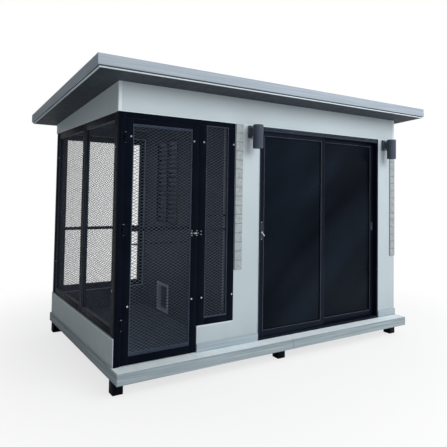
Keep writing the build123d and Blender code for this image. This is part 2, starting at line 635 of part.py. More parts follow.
# ============================ sliding door ============================
def make_slider_frame():
    y0, y1 = -SLIDER_PROUD, SLIDER_DEPTH - SLIDER_PROUD
    head_z = HEADER_Z - HEAD_PROFILE_H
    head = board(SLIDER_X0, SLIDER_X1, y0, y1, head_z, HEADER_Z, SLIDER_EDGE)
    sill = block(SLIDER_X0, SLIDER_X1, y0, y1, 0, SILL_T)
    inner_x0, inner_x1 = SLIDER_X0 + JAMB_W, SLIDER_X1 - JAMB_W
    slot_top = head_z + SASH_HEAD_LAP + HEAD_SLOT_ABOVE
    for centre in (OUTER_TRACK_Y, INNER_TRACK_Y):
        half = SASH_T / 2 + TRACK_CLEARANCE
        head -= block(SLIDER_X0, SLIDER_X1, centre - half, centre + half, head_z, slot_top)
        sill += block(inner_x0, inner_x1, centre - RAIL_T / 2, centre + RAIL_T / 2, SILL_T, RAIL_TOP_Z)
    sill += block(inner_x0, inner_x1, y0, y0 + SILL_LIP_T, SILL_T, RAIL_TOP_Z)
    sill += block(inner_x0, inner_x1, y1 - SILL_LIP_T, y1, SILL_T, RAIL_TOP_Z + SILL_BACK_RISE)
    jambs = [
        board(SLIDER_X0, inner_x0, y0, y1, SILL_T, head_z, SLIDER_EDGE),
        board(inner_x1, SLIDER_X1, y0, y1, SILL_T, head_z, SLIDER_EDGE),
    ]
    parts["slider_frame"] = group(head, sill, *jambs)


def make_sash(x0, centre_y, sash_node, glass_node, roller_nodes):
    """One sliding sash: stiles, rails, pane and two rollers, with its left edge at x0."""
    x1 = x0 + SASH_W
    y0, y1 = centre_y - SASH_T / 2, centre_y + SASH_T / 2
    z0 = SASH_BOTTOM_Z
    z1 = HEADER_Z - HEAD_PROFILE_H + SASH_HEAD_LAP
    glass = block(
        x0 + SASH_STILE - GLASS_LAP,
        x1 - SASH_STILE + GLASS_LAP,
        centre_y - GLASS_T / 2,
        centre_y + GLASS_T / 2,
        z0 + SASH_BOTTOM_RAIL - GLASS_LAP,
        z1 - SASH_TOP_RAIL + GLASS_LAP,
    )
    inner_x0, inner_x1 = x0 + SASH_STILE, x1 - SASH_STILE
    members = [
        board(x0, inner_x0, y0, y1, z0, z1),
        board(inner_x1, x1, y0, y1, z0, z1),
        board(inner_x0, inner_x1, y0, y1, z1 - SASH_TOP_RAIL, z1),
        board(inner_x0, inner_x1, y0, y1, z0, z0 + SASH_BOTTOM_RAIL),
    ]
    channel = block(x0, x1, centre_y - CHANNEL_W / 2, centre_y + CHANNEL_W / 2, z0, z0 + CHANNEL_H)
    roller_z = RAIL_TOP_Z + ROLLER_GAP + ROLLER_R
    axle_y0 = y0 + AXLE_SKIN
    axle_len = SASH_T - 2 * AXLE_SKIN
    rollers = []
    for x, node in zip((x0 + ROLLER_INSET, x1 - ROLLER_INSET), roller_nodes):
        channel += rod((x, axle_y0, roller_z), (0, 1, 0), ROLLER_AXLE_R + RUNNING_CLEARANCE, axle_len)
        wheel = rod((x, centre_y - ROLLER_W / 2, roller_z), (0, 1, 0), ROLLER_R, ROLLER_W)
        wheel = chamfer(wheel.edges(), ROLLER_EDGE)
        axle = rod((x, axle_y0 + AXLE_END_GAP, roller_z), (0, 1, 0), ROLLER_AXLE_R, axle_len - 2 * AXLE_END_GAP)
        parts[node] = wheel + axle
        rollers.append(node)
    parts[sash_node] = group(*[m - glass - channel for m in members])
    parts[glass_node] = glass


def make_slider():
    make_slider_frame()
    left_x = SLIDER_X0 + JAMB_W + SASH_SIDE_GAP
    right_x = SLIDER_X1 - JAMB_W - SASH_SIDE_GAP - SASH_W
    make_sash(left_x, OUTER_TRACK_Y, "sash_left", "glass_left", ("roller_left_1", "roller_left_2"))
    make_sash(right_x, INNER_TRACK_Y, "sash_right", "glass_right", ("roller_right_1", "roller_right_2"))

    lock_x = left_x + LOCK_X
    face = OUTER_TRACK_Y - SASH_T / 2
    half_w, half_h = LOCK_W / 2, LOCK_H / 2
    plate = board(lock_x - half_w, lock_x + half_w, face - LOCK_T, face, LOCK_Z - half_h, LOCK_Z + half_h)
    spindle_len = LOCK_T - SPINDLE_SKIN
    bore = rod((lock_x, face - LOCK_T, TURN_Z), (0, 1, 0), TURN_SPINDLE_R + RUNNING_CLEARANCE, spindle_len)
    parts["lock_plate"] = plate - bore

    front = face - LOCK_T - TURN_GAP
    turn = rod((lock_x, front - TURN_BOSS_H, TURN_Z), (0, 1, 0), TURN_BOSS_R, TURN_BOSS_H)
    turn += rod((lock_x, front, TURN_Z), (0, 1, 0), TURN_SPINDLE_R, spindle_len - SPINDLE_END_GAP)
    lever = Box(TURN_LEVER_W, TURN_LEVER_T, TURN_LEVER_L, align=(Align.CENTER, Align.CENTER, Align.MAX))
    lever = fillet(lever.edges().filter_by(Axis.Y), TURN_LEVER_W * LEVER_ROUND)
    lever_y = front - TURN_BOSS_H + TURN_LEVER_T / 2 + LEVER_DROP
    turned = Location((lock_x, lever_y, TURN_Z), (0, -TURN_REST_DEG, 0))
    parts["thumb_turn"] = turn + turned * lever

    pull_x = right_x + SASH_W - SASH_STILE / 2
    face = INNER_TRACK_Y - SASH_T / 2
    x0, x1 = pull_x - PULL_W / 2, pull_x + PULL_W / 2
    z0, z1 = LOCK_Z - PULL_H / 2, LOCK_Z + PULL_H / 2
    pull = board(x0, x1, face - PULL_T, face, z0, z1)
    hollow = block(x0 + PULL_RIM, x1 - PULL_RIM, face - PULL_T, face - PULL_FLOOR, z0 + PULL_END, z1 - PULL_END)
    parts["sash_pull"] = pull - hollow


# ============================ partition fittings ============================
def make_window():
    x0 = PARTITION_X0 - WINDOW_FRAME_PROUD
    x1 = x0 + WINDOW_FRAME_DEPTH
    w = WINDOW_FRAME_W
    mid = (WINDOW_Y0 + WINDOW_Y1) / 2
    half = WINDOW_MULLION_W / 2
    parts["louvre_frame"] = group(
        board(x0, x1, WINDOW_Y0, WINDOW_Y0 + w, WINDOW_Z0, WINDOW_Z1, WINDOW_EDGE),
        board(x0, x1, WINDOW_Y1 - w, WINDOW_Y1, WINDOW_Z0, WINDOW_Z1, WINDOW_EDGE),
        board(x0, x1, WINDOW_Y0 + w, WINDOW_Y1 - w, WINDOW_Z0, WINDOW_Z0 + w, WINDOW_EDGE),
        board(x0, x1, WINDOW_Y0 + w, WINDOW_Y1 - w, WINDOW_Z1 - w, WINDOW_Z1, WINDOW_EDGE),
        board(x0, x1, mid - half, mid + half, WINDOW_Z0 + w, WINDOW_Z1 - w, WINDOW_EDGE),
    )
    pitch = (WINDOW_Z1 - WINDOW_Z0 - 2 * w) / BLADE_COUNT
    blades = []
    for y0, y1 in ((WINDOW_Y0 + w, mid - half), (mid + half, WINDOW_Y1 - w)):
        for i in range(BLADE_COUNT):
            centre = ((x0 + x1) / 2, (y0 + y1) / 2, WINDOW_Z0 + w + (i + 0.5) * pitch)
            blades.append(Location(centre, (0, BLADE_TILT, 0)) * Box(BLADE_W, y1 - y0, BLADE_T))
    parts["louvre_blades"] = group(*blades)


FLAP_AXIS_Z = PET_Z1 - PET_LINER_T - FLAP_AXIS_DROP
FLAP_AXIS_X = PARTITION_X0 + PARTITION / 2


def make_pet_door():
    x0 = PARTITION_X0 - PET_FLANGE_T
    rim = PET_FLANGE
    flange = board(x0, PARTITION_X0, PET_Y0 - rim, PET_Y1 + rim, PET_Z0 - rim, PET_Z1 + rim)
    liner = block(PARTITION_X0, RUN_LENGTH, PET_Y0, PET_Y1, PET_Z0, PET_Z1)
    t = PET_LINER_T
    passage = block(x0, RUN_LENGTH, PET_Y0 + t, PET_Y1 - t, PET_Z0 + t, PET_Z1 - t)
    axis_point = (FLAP_AXIS_X, PET_Y0 + FLAP_BORE_SKIN, FLAP_AXIS_Z)
    bore_len = PET_Y1 - PET_Y0 - 2 * FLAP_BORE_SKIN
    bore = rod(axis_point, (0, 1, 0), FLAP_PIN_R + RUNNING_CLEARANCE, bore_len)
    parts["pet_door_frame"] = flange + liner - passage - bore

    y0, y1 = PET_Y0 + t + FLAP_SIDE_GAP, PET_Y1 - t - FLAP_SIDE_GAP
    bottom = PET_Z0 + t + FLAP_BOTTOM_GAP
    flap = board(FLAP_AXIS_X - FLAP_T / 2, FLAP_AXIS_X + FLAP_T / 2, y0, y1, bottom, FLAP_AXIS_Z)
    flap += rod((FLAP_AXIS_X, y0, FLAP_AXIS_Z), (0, 1, 0), FLAP_BAR_R, y1 - y0)
    pin_end = FLAP_BORE_SKIN + FLAP_PIN_END_GAP
    pin_y0, pin_y1 = PET_Y0 + pin_end, PET_Y1 - pin_end
    flap += rod((FLAP_AXIS_X, pin_y0, FLAP_AXIS_Z), (0, 1, 0), FLAP_PIN_R, pin_y1 - pin_y0)
    parts["pet_flap"] = flap


# ============================ lamps ============================
def make_lamps():
    bases, housings, lenses = [], [], []
    for x in LAMP_X:
        half = LAMP_BASE_W / 2
        base_z = LAMP_TOP_Z - LAMP_BASE_H
        bases.append(board(x - half, x + half, -LAMP_BASE_T, 0, base_z, LAMP_TOP_Z, LAMP_BASE_EDGE))
        z0 = LAMP_TOP_Z - LAMP_H
        body = rod((x, -LAMP_STANDOFF, z0), (0, 0, 1), LAMP_R, LAMP_H)
        neck_z = LAMP_TOP_Z - LAMP_BASE_H / 2
        body += rod((x, -LAMP_STANDOFF, neck_z), (0, 1, 0), LAMP_NECK_R, LAMP_STANDOFF - LAMP_BASE_T)
        for z in (z0, LAMP_TOP_Z - LAMP_RECESS_DEPTH):
            body -= rod((x, -LAMP_STANDOFF, z), (0, 0, 1), LAMP_RECESS_R, LAMP_RECESS_DEPTH)
        housings.append(body)
        inner = LAMP_RECESS_DEPTH - LAMP_LENS_T
        lens_r = LAMP_RECESS_R - LAMP_LENS_GAP
        lenses.append(rod((x, -LAMP_STANDOFF, z0 + inner), (0, 0, 1), lens_r, LAMP_LENS_T))
        lenses.append(rod((x, -LAMP_STANDOFF, LAMP_TOP_Z - LAMP_RECESS_DEPTH), (0, 0, 1), lens_r, LAMP_LENS_T))
    parts["lamp_bases"] = group(*bases)
    parts["lamp_housings"] = group(*housings)
    parts["lamp_lenses"] = group(*lenses)


def main():
    make_base()
    make_walls()
    make_roof()
    make_run()
    make_door()
    make_hinges()
    make_latch()
    make_screws()
    make_slider()
    make_window()
    make_pet_door()
    make_lamps()

    boxes = [p.bounding_box() for p in parts.values()]
    low = [min(getattr(b.min, a) for b in boxes) for a in "XYZ"]
    high = [max(getattr(b.max, a) for b in boxes) for a in "XYZ"]
    shift = Pos(-(low[0] + high[0]) / 2, -(low[1] + high[1]) / 2, -low[2])
    os.makedirs("parts", exist_ok=True)
    for name, solid in parts.items():
        export_step(shift * solid, f"parts/{name}.step")
    print("nodes", len(parts))
    print("overall", [round(h - l, 1) for l, h in zip(low, high)])
    print("shift", [round(v, 3) for v in shift.position])


main()
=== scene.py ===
"""Looks for the walk-in kennel: wire run at the left, closed room with a sliding door at the right."""

import json
import math

import bmesh
import bpy
from mathutils import Matrix, Vector, noise


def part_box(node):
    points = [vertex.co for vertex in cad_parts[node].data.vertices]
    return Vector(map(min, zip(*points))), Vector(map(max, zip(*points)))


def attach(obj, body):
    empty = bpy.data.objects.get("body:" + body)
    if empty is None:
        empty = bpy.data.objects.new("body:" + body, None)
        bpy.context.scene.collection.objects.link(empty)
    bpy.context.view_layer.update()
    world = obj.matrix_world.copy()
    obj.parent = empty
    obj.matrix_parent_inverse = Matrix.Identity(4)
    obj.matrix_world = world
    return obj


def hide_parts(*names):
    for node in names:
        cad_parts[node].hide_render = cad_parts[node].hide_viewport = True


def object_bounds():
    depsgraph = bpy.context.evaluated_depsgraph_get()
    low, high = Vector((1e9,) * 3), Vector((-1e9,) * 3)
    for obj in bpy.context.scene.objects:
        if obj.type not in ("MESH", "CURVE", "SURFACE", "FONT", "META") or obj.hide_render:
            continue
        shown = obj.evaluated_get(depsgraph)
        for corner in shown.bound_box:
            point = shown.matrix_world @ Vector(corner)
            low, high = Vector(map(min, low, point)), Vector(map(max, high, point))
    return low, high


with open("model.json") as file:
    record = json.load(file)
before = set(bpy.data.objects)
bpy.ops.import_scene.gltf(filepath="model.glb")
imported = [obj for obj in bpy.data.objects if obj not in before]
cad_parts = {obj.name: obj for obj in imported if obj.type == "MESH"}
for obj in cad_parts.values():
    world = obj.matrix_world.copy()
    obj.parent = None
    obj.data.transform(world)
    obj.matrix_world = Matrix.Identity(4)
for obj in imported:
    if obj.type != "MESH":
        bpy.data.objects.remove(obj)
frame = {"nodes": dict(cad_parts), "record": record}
cad_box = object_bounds()
MM = 0.001
scene = bpy.context.scene

# The house corner: left end of the front wall face, at deck level. Places below are counted from it.
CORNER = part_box("kerb_left")[0]


def shifted(point, x, y, z):
    """A point moved by some millimetres to the right, to the rear and up."""
    return Vector(point) + Vector((x, y, z)) * MM


def at(x, y, z):
    """A point given in millimetres right of, behind and above the house corner."""
    return shifted(CORNER, x, y, z)


def solids(node, turn=None):
    """Boxes of a CAD node's separate solids, from left to right; turn is applied to their points first."""
    bm = bmesh.new()
    bm.from_mesh(frame["nodes"][node].data)
    bmesh.ops.remove_doubles(bm, verts=bm.verts, dist=0.01 * MM)
    boxes, seen = [], set()
    for start in bm.faces:
        if start in seen:
            continue
        seen.add(start)
        queue, points = [start], []
        while queue:
            face = queue.pop()
            points += [turn @ v.co if turn else v.co.copy() for v in face.verts]
            for edge in face.edges:
                if len(edge.link_faces) == 2:
                    fresh = [f for f in edge.link_faces if f not in seen]
                    seen.update(fresh)
                    queue += fresh
        boxes.append(box_of(points))
    bm.free()
    return sorted(boxes, key=lambda box: [round(c, 3) for c in box[0]])


def box_of(points):
    """Lowest and highest corner of some points."""
    return tuple(Vector([pick(p[i] for p in points) for i in range(3)]) for pick in (min, max))


# ---- shared helpers
def srgb(code):
    """An sRGB hex colour as the linear colour that a shader takes."""
    values = [int(code[i:i + 2], 16) / 255 for i in (1, 3, 5)]
    linear = [v / 12.92 if v <= 0.04045 else ((v + 0.055) / 1.055) ** 2.4 for v in values]
    return (*linear, 1.0)


def add(tree, kind, inputs=None, **attributes):
    """One node. Each input is a value, a socket, or a node whose first output it takes."""
    node = tree.nodes.new(kind)
    for name, value in attributes.items():
        setattr(node, name, value)
    for key, value in (inputs or {}).items():
        if isinstance(value, bpy.types.Node):
            value = value.outputs[0]
        if isinstance(value, bpy.types.NodeSocket):
            tree.links.new(value, node.inputs[key])
        else:
            node.inputs[key].default_value = value
    return node


def put(name, mesh, material, body, replaced=()):
    """Makes a mesh into a piece that rides on a body."""
    mesh.materials.clear()
    mesh.materials.append(material)
    piece = bpy.data.objects.new(name, mesh)
    scene.collection.objects.link(piece)
    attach(piece, body)
    if replaced:
        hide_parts(*replaced)


def put_bm(name, bm, material, body, replaced=(), smooth=False):
    """Makes a bmesh into a piece, with its faces turned outwards."""
    bmesh.ops.recalc_face_normals(bm, faces=bm.faces)
    mesh = bpy.data.meshes.new(name)
    bm.to_mesh(mesh)
    bm.free()
    if smooth:
        mesh.shade_smooth()
        mesh.set_sharp_from_angle(angle=math.radians(35))
    put(name, mesh, material, body, replaced)


def bevel(bm, edges, offset, segments):
    """Rounds some edges."""
    bmesh.ops.bevel(bm, geom=list(edges), offset=offset, segments=segments, profile=0.5, affect="EDGES")


def add_block(bm, low, high, edge_mm=0.0, steps=2, turn=None):
    """A box between two corners, turned about the origin, with its edges rounded."""
    low, high = Vector(low), Vector(high)
    size, middle = high - low, (high + low) / 2
    verts = bmesh.ops.create_cube(bm, size=1.0)["verts"]
    for v in verts:
        spot = v.co * size + middle
        v.co = turn @ spot if turn else spot
    if edge_mm:
        bevel(bm, {e for v in verts for e in v.link_edges}, edge_mm * MM, steps)


def add_plate(bm, low, high, axis, corner_mm, edge_mm):
    """A plate whose outline is rounded about one axis (0, 1 or 2) and whose rims are eased."""
    before = set(bm.faces)
    add_block(bm, low, high)
    fresh = [f for f in bm.faces if f not in before]
    across = {e for f in fresh for e in f.edges
              if abs((e.verts[0].co - e.verts[1].co).normalized()[axis]) > 0.9}
    bevel(bm, across, corner_mm * MM, 6)
    bm.normal_update()
    ends = [f for f in bm.faces if f not in before and abs(f.normal[axis]) > 0.99]
    bevel(bm, {e for f in ends for e in f.edges}, edge_mm * MM, 2)


def facing(axis, face, inward=1):
    """Places on a face square to an axis: place(u, w, depth) lies u along it, w up and depth inside it."""
    def place(u, w, depth):
        spot = Vector((u, u, w))
        spot[axis] = face + inward * depth
        return spot
    return place


def add_rim(bm, place, low, high, widths_mm, profile):
    """A mitred rim round the inside of a rectangle from (u, w) low to high.

    widths_mm are the rim's left, right, bottom and top widths, and profile lists
    (share of the width, depth in mm) round the section.
    """
    left, right, bottom, top = [width * MM for width in widths_mm]
    rings = []
    for share, depth in profile:
        u0, u1 = low[0] + share * left, high[0] - share * right
        w0, w1 = low[1] + share * bottom, high[1] - share * top
        ring = (u0, w0), (u1, w0), (u1, w1), (u0, w1)
        rings.append([bm.verts.new(place(u, w, depth * MM)) for u, w in ring])
    for i, ring in enumerate(rings):
        after = rings[(i + 1) % len(rings)]
        for k in range(4):
            m = (k + 1) % 4
            bm.faces.new((ring[k], ring[m], after[m], after[k]))


def add_prism(bm, outline, bottom, top):
    """A wall with the plan outline [(x, y)], from the height bottom up to top(y)."""
    low = [bm.verts.new((x, y, bottom)) for x, y in outline]
    high = [bm.verts.new((x, y, top(y))) for x, y in outline]
    bm.faces.new(low)
    bm.faces.new(high)
    for i in range(len(outline)):
        k = (i + 1) % len(outline)
        bm.faces.new((low[i], low[k], high[k], high[i]))


def add_sheet(bm, place, low, high, holes, thick):
    """A flat sheet with rectangular holes [(low, high)]."""
    cuts = [sorted({low[i], high[i]} | {h[j][i] for h in holes for j in (0, 1)}) for i in (0, 1)]
    corners, faces = {}, []
    for u0, u1 in zip(cuts[0], cuts[0][1:]):
        for w0, w1 in zip(cuts[1], cuts[1][1:]):
            u, w = (u0 + u1) / 2, (w0 + w1) / 2
            if any(h[0][0] < u < h[1][0] and h[0][1] < w < h[1][1] for h in holes):
                continue
            ring = []
            for key in ((u0, w0), (u1, w0), (u1, w1), (u0, w1)):
                if key not in corners:
                    corners[key] = bm.verts.new(place(*key, 0.0))
                ring.append(corners[key])
            faces.append(bm.faces.new(ring))
    raised = bmesh.ops.extrude_face_region(bm, geom=faces, use_keep_orig=True)["geom"]
    step = place(0, 0, thick) - place(0, 0, 0.0)
    bmesh.ops.translate(bm, verts=[v for v in raised if isinstance(v, bmesh.types.BMVert)], vec=step)


TO_FRONT = Matrix.Rotation(math.radians(90), 3, "X")      # +Z becomes -Y


def add_lathe(bm, profile_mm, centre, turn=Matrix.Identity(3), steps=48):
    """A turned piece: (radius, height) from the axis back to the axis, spun about Z and then turned."""
    rings = []
    for radius, height in profile_mm:
        ring = []
        for i in range(steps if radius else 1):
            angle = 2 * math.pi * i / steps
            spot = Vector((radius * math.cos(angle), radius * math.sin(angle), height)) * MM
            ring.append(bm.verts.new(Vector(centre) + turn @ spot))
        rings.append(ring)
    for one, two in zip(rings, rings[1:]):
        for i in range(steps):
            k = (i + 1) % steps
            corners = [one[i % len(one)], one[k % len(one)], two[k % len(two)], two[i % len(two)]]
            unique = list(dict.fromkeys(corners))
            if len(unique) > 2:
                bm.faces.new(unique)


# ---- materials
def blank(name):
    """A new material with a Principled shader, its output and object coordinates."""
    material = bpy.data.materials.new(name)
    material.use_nodes = True
    tree = material.node_tree
    tree.nodes.clear()
    shader = add(tree, "ShaderNodeBsdfPrincipled")
    add(tree, "ShaderNodeOutputMaterial", {"Surface": shader})
    place = add(tree, "ShaderNodeTexCoord").outputs["Object"]
    return material, tree, shader, place


def finish(tree, shader, links, **values):
    """Links patterns to the shader, and sets what is the same all over on the shader's own sockets."""
    for name, source in links.items():
        source = source.outputs[0] if isinstance(source, bpy.types.Node) else source
        tree.links.new(source, shader.inputs[name])
    for name, value in values.items():
        shader.inputs[name.replace("_", " ")].default_value = value


def cloud(tree, place, size_mm, low, high, detail=3.0, stretch=(1, 1, 1)):
    """A soft noise between two values or two colours, with patches of about size_mm."""
    scale = [s / (size_mm * MM) for s in stretch]
    spot = add(tree, "ShaderNodeMapping", {"Vector": place, "Scale": scale})
    grain = add(tree, "ShaderNodeTexNoise", {"Vector": spot, "Scale": 1.0, "Detail": detail})
    if isinstance(low, str):
        share = add(tree, "ShaderNodeMapRange", {0: grain, 1: 0.3, 2: 0.7})
        colours = {0: share, 6: srgb(low), 7: srgb(high)}
        return add(tree, "ShaderNodeMix", colours, data_type="RGBA").outputs[2]
    return add(tree, "ShaderNodeMapRange", {0: grain, 1: 0.3, 2: 0.7, 3: low, 4: high}).outputs[0]


def painted_edge_highlight(tree, colour, highlight_colour, radius_mm, share):
    """A colour that turns lighter along outside edges: a painted highlight where light would catch the edge.
    """
    rounded = add(tree, "ShaderNodeBevel", {"Radius": radius_mm * MM}, samples=4)
    real = add(tree, "ShaderNodeNewGeometry").outputs["Normal"]
    agree = add(tree, "ShaderNodeVectorMath", {0: rounded, 1: real}, operation="DOT_PRODUCT")
    edge = add(tree, "ShaderNodeMapRange", {0: agree.outputs["Value"], 1: 0.98, 2: 0.85, 3: 0.0, 4: share})
    return add(tree, "ShaderNodeMix", {0: edge, 6: colour, 7: srgb(highlight_colour)}, data_type="RGBA").outputs[2]


def surface(name, tone, rough, *skins, edge=None, soil=None, lean=None, lines=None, **values):
    """A material made of clouds: tone, rough and lines hold settings of cloud(), edge those of the painted
    edge highlight.

    skins are reliefs (patch in mm, depth in mm, detail), one on another. soil is a function that gives the
    soiled share, and a colour. lean turns the tone. Drawn lines vary the gloss between the two rough values.
    """
    material, tree, shader, place = blank(name)
    leaned = add(tree, "ShaderNodeMapping", {"Vector": place, "Rotation": lean}).outputs[0] if lean else place
    colour = cloud(tree, leaned, *tone)
    if soil:
        mix = {0: soil[0](tree, place), 6: colour, 7: srgb(soil[1])}
        colour = add(tree, "ShaderNodeMix", mix, data_type="RGBA").outputs[2]
    if edge:
        colour = painted_edge_highlight(tree, colour, *edge)
    links = {"Base Color": colour}
    for patch_mm, depth_mm, detail in skins:
        height = cloud(tree, place, patch_mm, 0.0, 1.0, detail)
        relief = add(tree, "ShaderNodeBump", {"Height": height, "Distance": depth_mm * MM})
        if "Normal" in links:
            tree.links.new(links["Normal"].outputs[0], relief.inputs["Normal"])
        links["Normal"] = relief
    if lines:
        marks = cloud(tree, place, *lines)
        links["Roughness"] = add(tree, "ShaderNodeMapRange", {0: marks, 3: rough[0], 4: rough[1]})
        links["Normal"] = add(tree, "ShaderNodeBump", {"Height": marks, "Distance": 0.02 * MM})
    elif rough:
        links["Roughness"] = cloud(tree, place, *rough)
    finish(tree, shader, links, **values)
    return material


def splash(tree, place):
    """Rain splash leaves the lowest hand's breadth of a wall a little duller, in patches."""
    height = add(tree, "ShaderNodeSeparateXYZ", {0: place}).outputs["Z"]
    low, high = CORNER.z, CORNER.z + 350 * MM
    foot = add(tree, "ShaderNodeMapRange", {0: height, 1: low, 2: high, 3: 0.3, 4: 0.0})
    patchy = {0: foot, 1: cloud(tree, place, 120, 0.2, 1.0)}
    return add(tree, "ShaderNodeMath", patchy, operation="MULTIPLY")


def scuffs(tree, place):
    """Feet scuff the deck in faint streaks."""
    return cloud(tree, place, 40, 0.0, 0.35, 6.0, (1.0, 0.25, 1.0))


def panel_sheet(name, dark, light, dusty):
    """Polyester-coated steel skin, roll-formed: smooth and satin, with a wave and a faint orange peel."""
    return surface(name, (900, dark, light, 2.0), (60, 0.42, 0.54), (500, 0.5, 1.0), (4, 0.06, 1.0),
                   soil=(splash, dusty), Specular_IOR_Level=0.35)


def powder_coat(name, dark, light, rough, edge=None, shine=0.2):
    """Powder coat baked on metal: an even tint with a fine pebbled skin, drawn coarse enough to show; an edge
    colour paints a highlight along the outside edges.
    """
    return surface(name, (180, dark, light, 4.0), (45, rough - 0.06, rough + 0.08), (2.5, 0.06, 2.0),
                   edge=edge and (edge, 3, 0.8), Specular_IOR_Level=shine, Specular_Tint=COOL)


def moulding(name, dark, light, rough, skin_mm=6.0, shine=0.4, **values):
    """Moulded plastic or rubber: even colour, with a slight sink and a moulded skin."""
    return surface(name, (60, dark, light, 3.0), (25, rough - 0.05, rough + 0.07), (skin_mm, 0.08, 2.0),
                   Specular_IOR_Level=shine, **values)


def grained_board(name, dark, mid, light, slope=0.0):
    """Painted cement-fibre board pressed with a wood grain: long streaks along it, matt in the grooves."""
    material, tree, shader, place = blank(name)
    turned = add(tree, "ShaderNodeMapping", {"Vector": place, "Rotation": (slope, 0, 0)}).outputs[0]
    broad = cloud(tree, turned, 24, 0.0, 1.0, 3.0, (0.02, 0.02, 1.0))
    fine = cloud(tree, turned, 6, 0.0, 1.0, 4.0, (0.012, 0.012, 1.0))
    both = add(tree, "ShaderNodeMath", {0: broad, 1: fine}, operation="ADD")
    half = add(tree, "ShaderNodeMath", {0: both, 1: 0.5}, operation="MULTIPLY")
    ramp = add(tree, "ShaderNodeValToRGB", {"Fac": half})
    ends = ramp.color_ramp.elements
    ends[0].position, ends[1].position = 0.1, 0.9
    ends[0].color, ends[1].color = srgb(dark), srgb(light)
    ends.new(0.5).color = srgb(mid)
    groove = add(tree, "ShaderNodeBump", {"Height": both, "Distance": 0.5 * MM})
    rough = add(tree, "ShaderNodeMapRange", {0: fine, 3: 0.75, 4: 0.55})
    # Edges turn the grain's light tone: a painted highlight.
    colour = painted_edge_highlight(tree, ramp.outputs[0], light, 4, 0.7)
    finish(tree, shader, {"Base Color": colour, "Roughness": rough, "Normal": groove}, Specular_IOR_Level=0.3)
    return material


def lining_board(name, dark, light, seam_mm, across):
    """Dark lining board, painted: smooth and satin, with a narrow groove at each seam."""
    material, tree, shader, place = blank(name)
    bands = {"Vector": place, "Scale": 1 / (20 * seam_mm * MM), "Distortion": 0.0}
    seams = add(tree, "ShaderNodeTexWave", bands, bands_direction=across, wave_profile="SAW")
    line = add(tree, "ShaderNodeMapRange", {0: seams, 1: 0.0, 2: 0.04, 3: 0.0, 4: 1.0})
    groove = add(tree, "ShaderNodeBump", {"Height": line, "Distance": MM})
    colour, rough = cloud(tree, place, 600, dark, light, 2.0), cloud(tree, place, 60, 0.5, 0.62)
    finish(tree, shader, {"Base Color": colour, "Roughness": rough, "Normal": groove}, Specular_IOR_Level=0.3)
    return material


def floor_paint():
    """Pale matt studio floor that runs out into the plain white surround away from the building."""
    material, tree, shader, place = blank("studio_floor")
    finish(tree, shader, {"Base Color": cloud(tree, place, 4000, "#EEEEEE", "#F2F2F2", 1.0)},
           Roughness=0.95, Specular_IOR_Level=0.0)
    far = add(tree, "ShaderNodeVectorMath", {0: place, 1: (0.2, 0.0, 0.0)}, operation="DISTANCE")
    fade = add(tree, "ShaderNodeMapRange", {0: far.outputs["Value"], 1: 1.6, 2: 4.2, 3: 0.72, 4: 1.0},
               interpolation_type="SMOOTHSTEP")
    seen = add(tree, "ShaderNodeLightPath").outputs["Is Camera Ray"]
    share = add(tree, "ShaderNodeMath", {0: fade, 1: seen}, operation="MULTIPLY")
    white = add(tree, "ShaderNodeEmission", {0: srgb("#FFFFFF"), 1: 1.0})
    both = add(tree, "ShaderNodeMixShader", {0: share, 1: shader, 2: white})
    out = next(n for n in tree.nodes if n.type == "OUTPUT_MATERIAL")
    tree.links.new(both.outputs[0], out.inputs["Surface"])
    return material


# ---- the finish of every slot
def roof_slope():
    """The roof's fall towards the rear, measured on the soffit board's lower edges."""
    low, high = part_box("soffit_board")
    verts = [v.co for v in frame["nodes"]["soffit_board"].data.vertices]
    front = min(v.z for v in verts if v.y < low.y + 20 * MM)
    rear = min(v.z for v in verts if v.y > high.y - 20 * MM)
    return math.atan((front - rear) / (high.y - low.y))


SLOPE = roof_slope()
LEVEL = Matrix.Rotation(SLOPE, 3, "X")      # turns the roof level
PITCH = LEVEL.transposed()                  # and back to its fall
COOL = srgb("#86A2D0")                      # dark coats mirror a cool sky

PANEL = panel_sheet("polyester_coated_steel_sheet", "#AAB6BB", "#B4BFC4", "#949FA2")
# A lighter copy of the wall sheet: painted highlight on the soffit edge strips, corner flashings and kerb
# cappings.
HIGHLIT_TRIM = panel_sheet("highlit_polyester_coated_steel_flashing", "#C2CDD2", "#CBD6DA", "#B2BDC1")
FASCIA = grained_board("grained_fibre_board_fascia", "#8C96A0", "#98A2AC", "#A5AFB8", SLOPE)
PLINTH = grained_board("grained_fibre_board_plinth", "#75828A", "#8F9CA2", "#AAB5BA")
SKIRTING = grained_board("grained_fibre_board_skirting", "#8C99A2", "#9EABB3", "#B0BCC2")
# Cement board, sanded and sealed: pale and matt, with a fine tooth.
DECK = surface("sealed_cement_board", (240, "#D9E5EA", "#E4EEF2", 4.0), (30, 0.6, 0.8), (3, 0.15, 4.0),
               soil=(scuffs, "#BCC8CC"), Specular_IOR_Level=0.3)
# Edge colours given to the coats below are painted highlights along their outside edges.
BLACK = powder_coat("black_powder_coated_steel", "#05080F", "#080C15", 0.42, "#30343F", shine=0.1)
# The wire's tone is lighter than the black coat: painted light caught on the strands.
MESH = powder_coat("black_powder_coated_expanded_metal", "#3C4350", "#4B5361", 0.4, "#747C89", shine=0.5)
CHASSIS = powder_coat("black_chassis_paint_on_steel", "#060708", "#0C0D0E", 0.55)
PRIMER = powder_coat("grey_primer_on_steel", "#3A3E42", "#464A4E", 0.6)
LAMP = powder_coat("anthracite_powder_coated_aluminium", "#40454F", "#494E5A", 0.42, "#6A6F7A", shine=0.3)
BEAD = powder_coat("slate_powder_coated_bead_section", "#282E3A", "#323946", 0.4, "#8791A2", shine=0.3)
BLADE = powder_coat("slate_powder_coated_louvre_blade", "#5C6472", "#6A7381", 0.4, "#7B8390", shine=0.4)
SOFFIT = lining_board("painted_lining_board", "#2A3139", "#323A42", 200, "X")
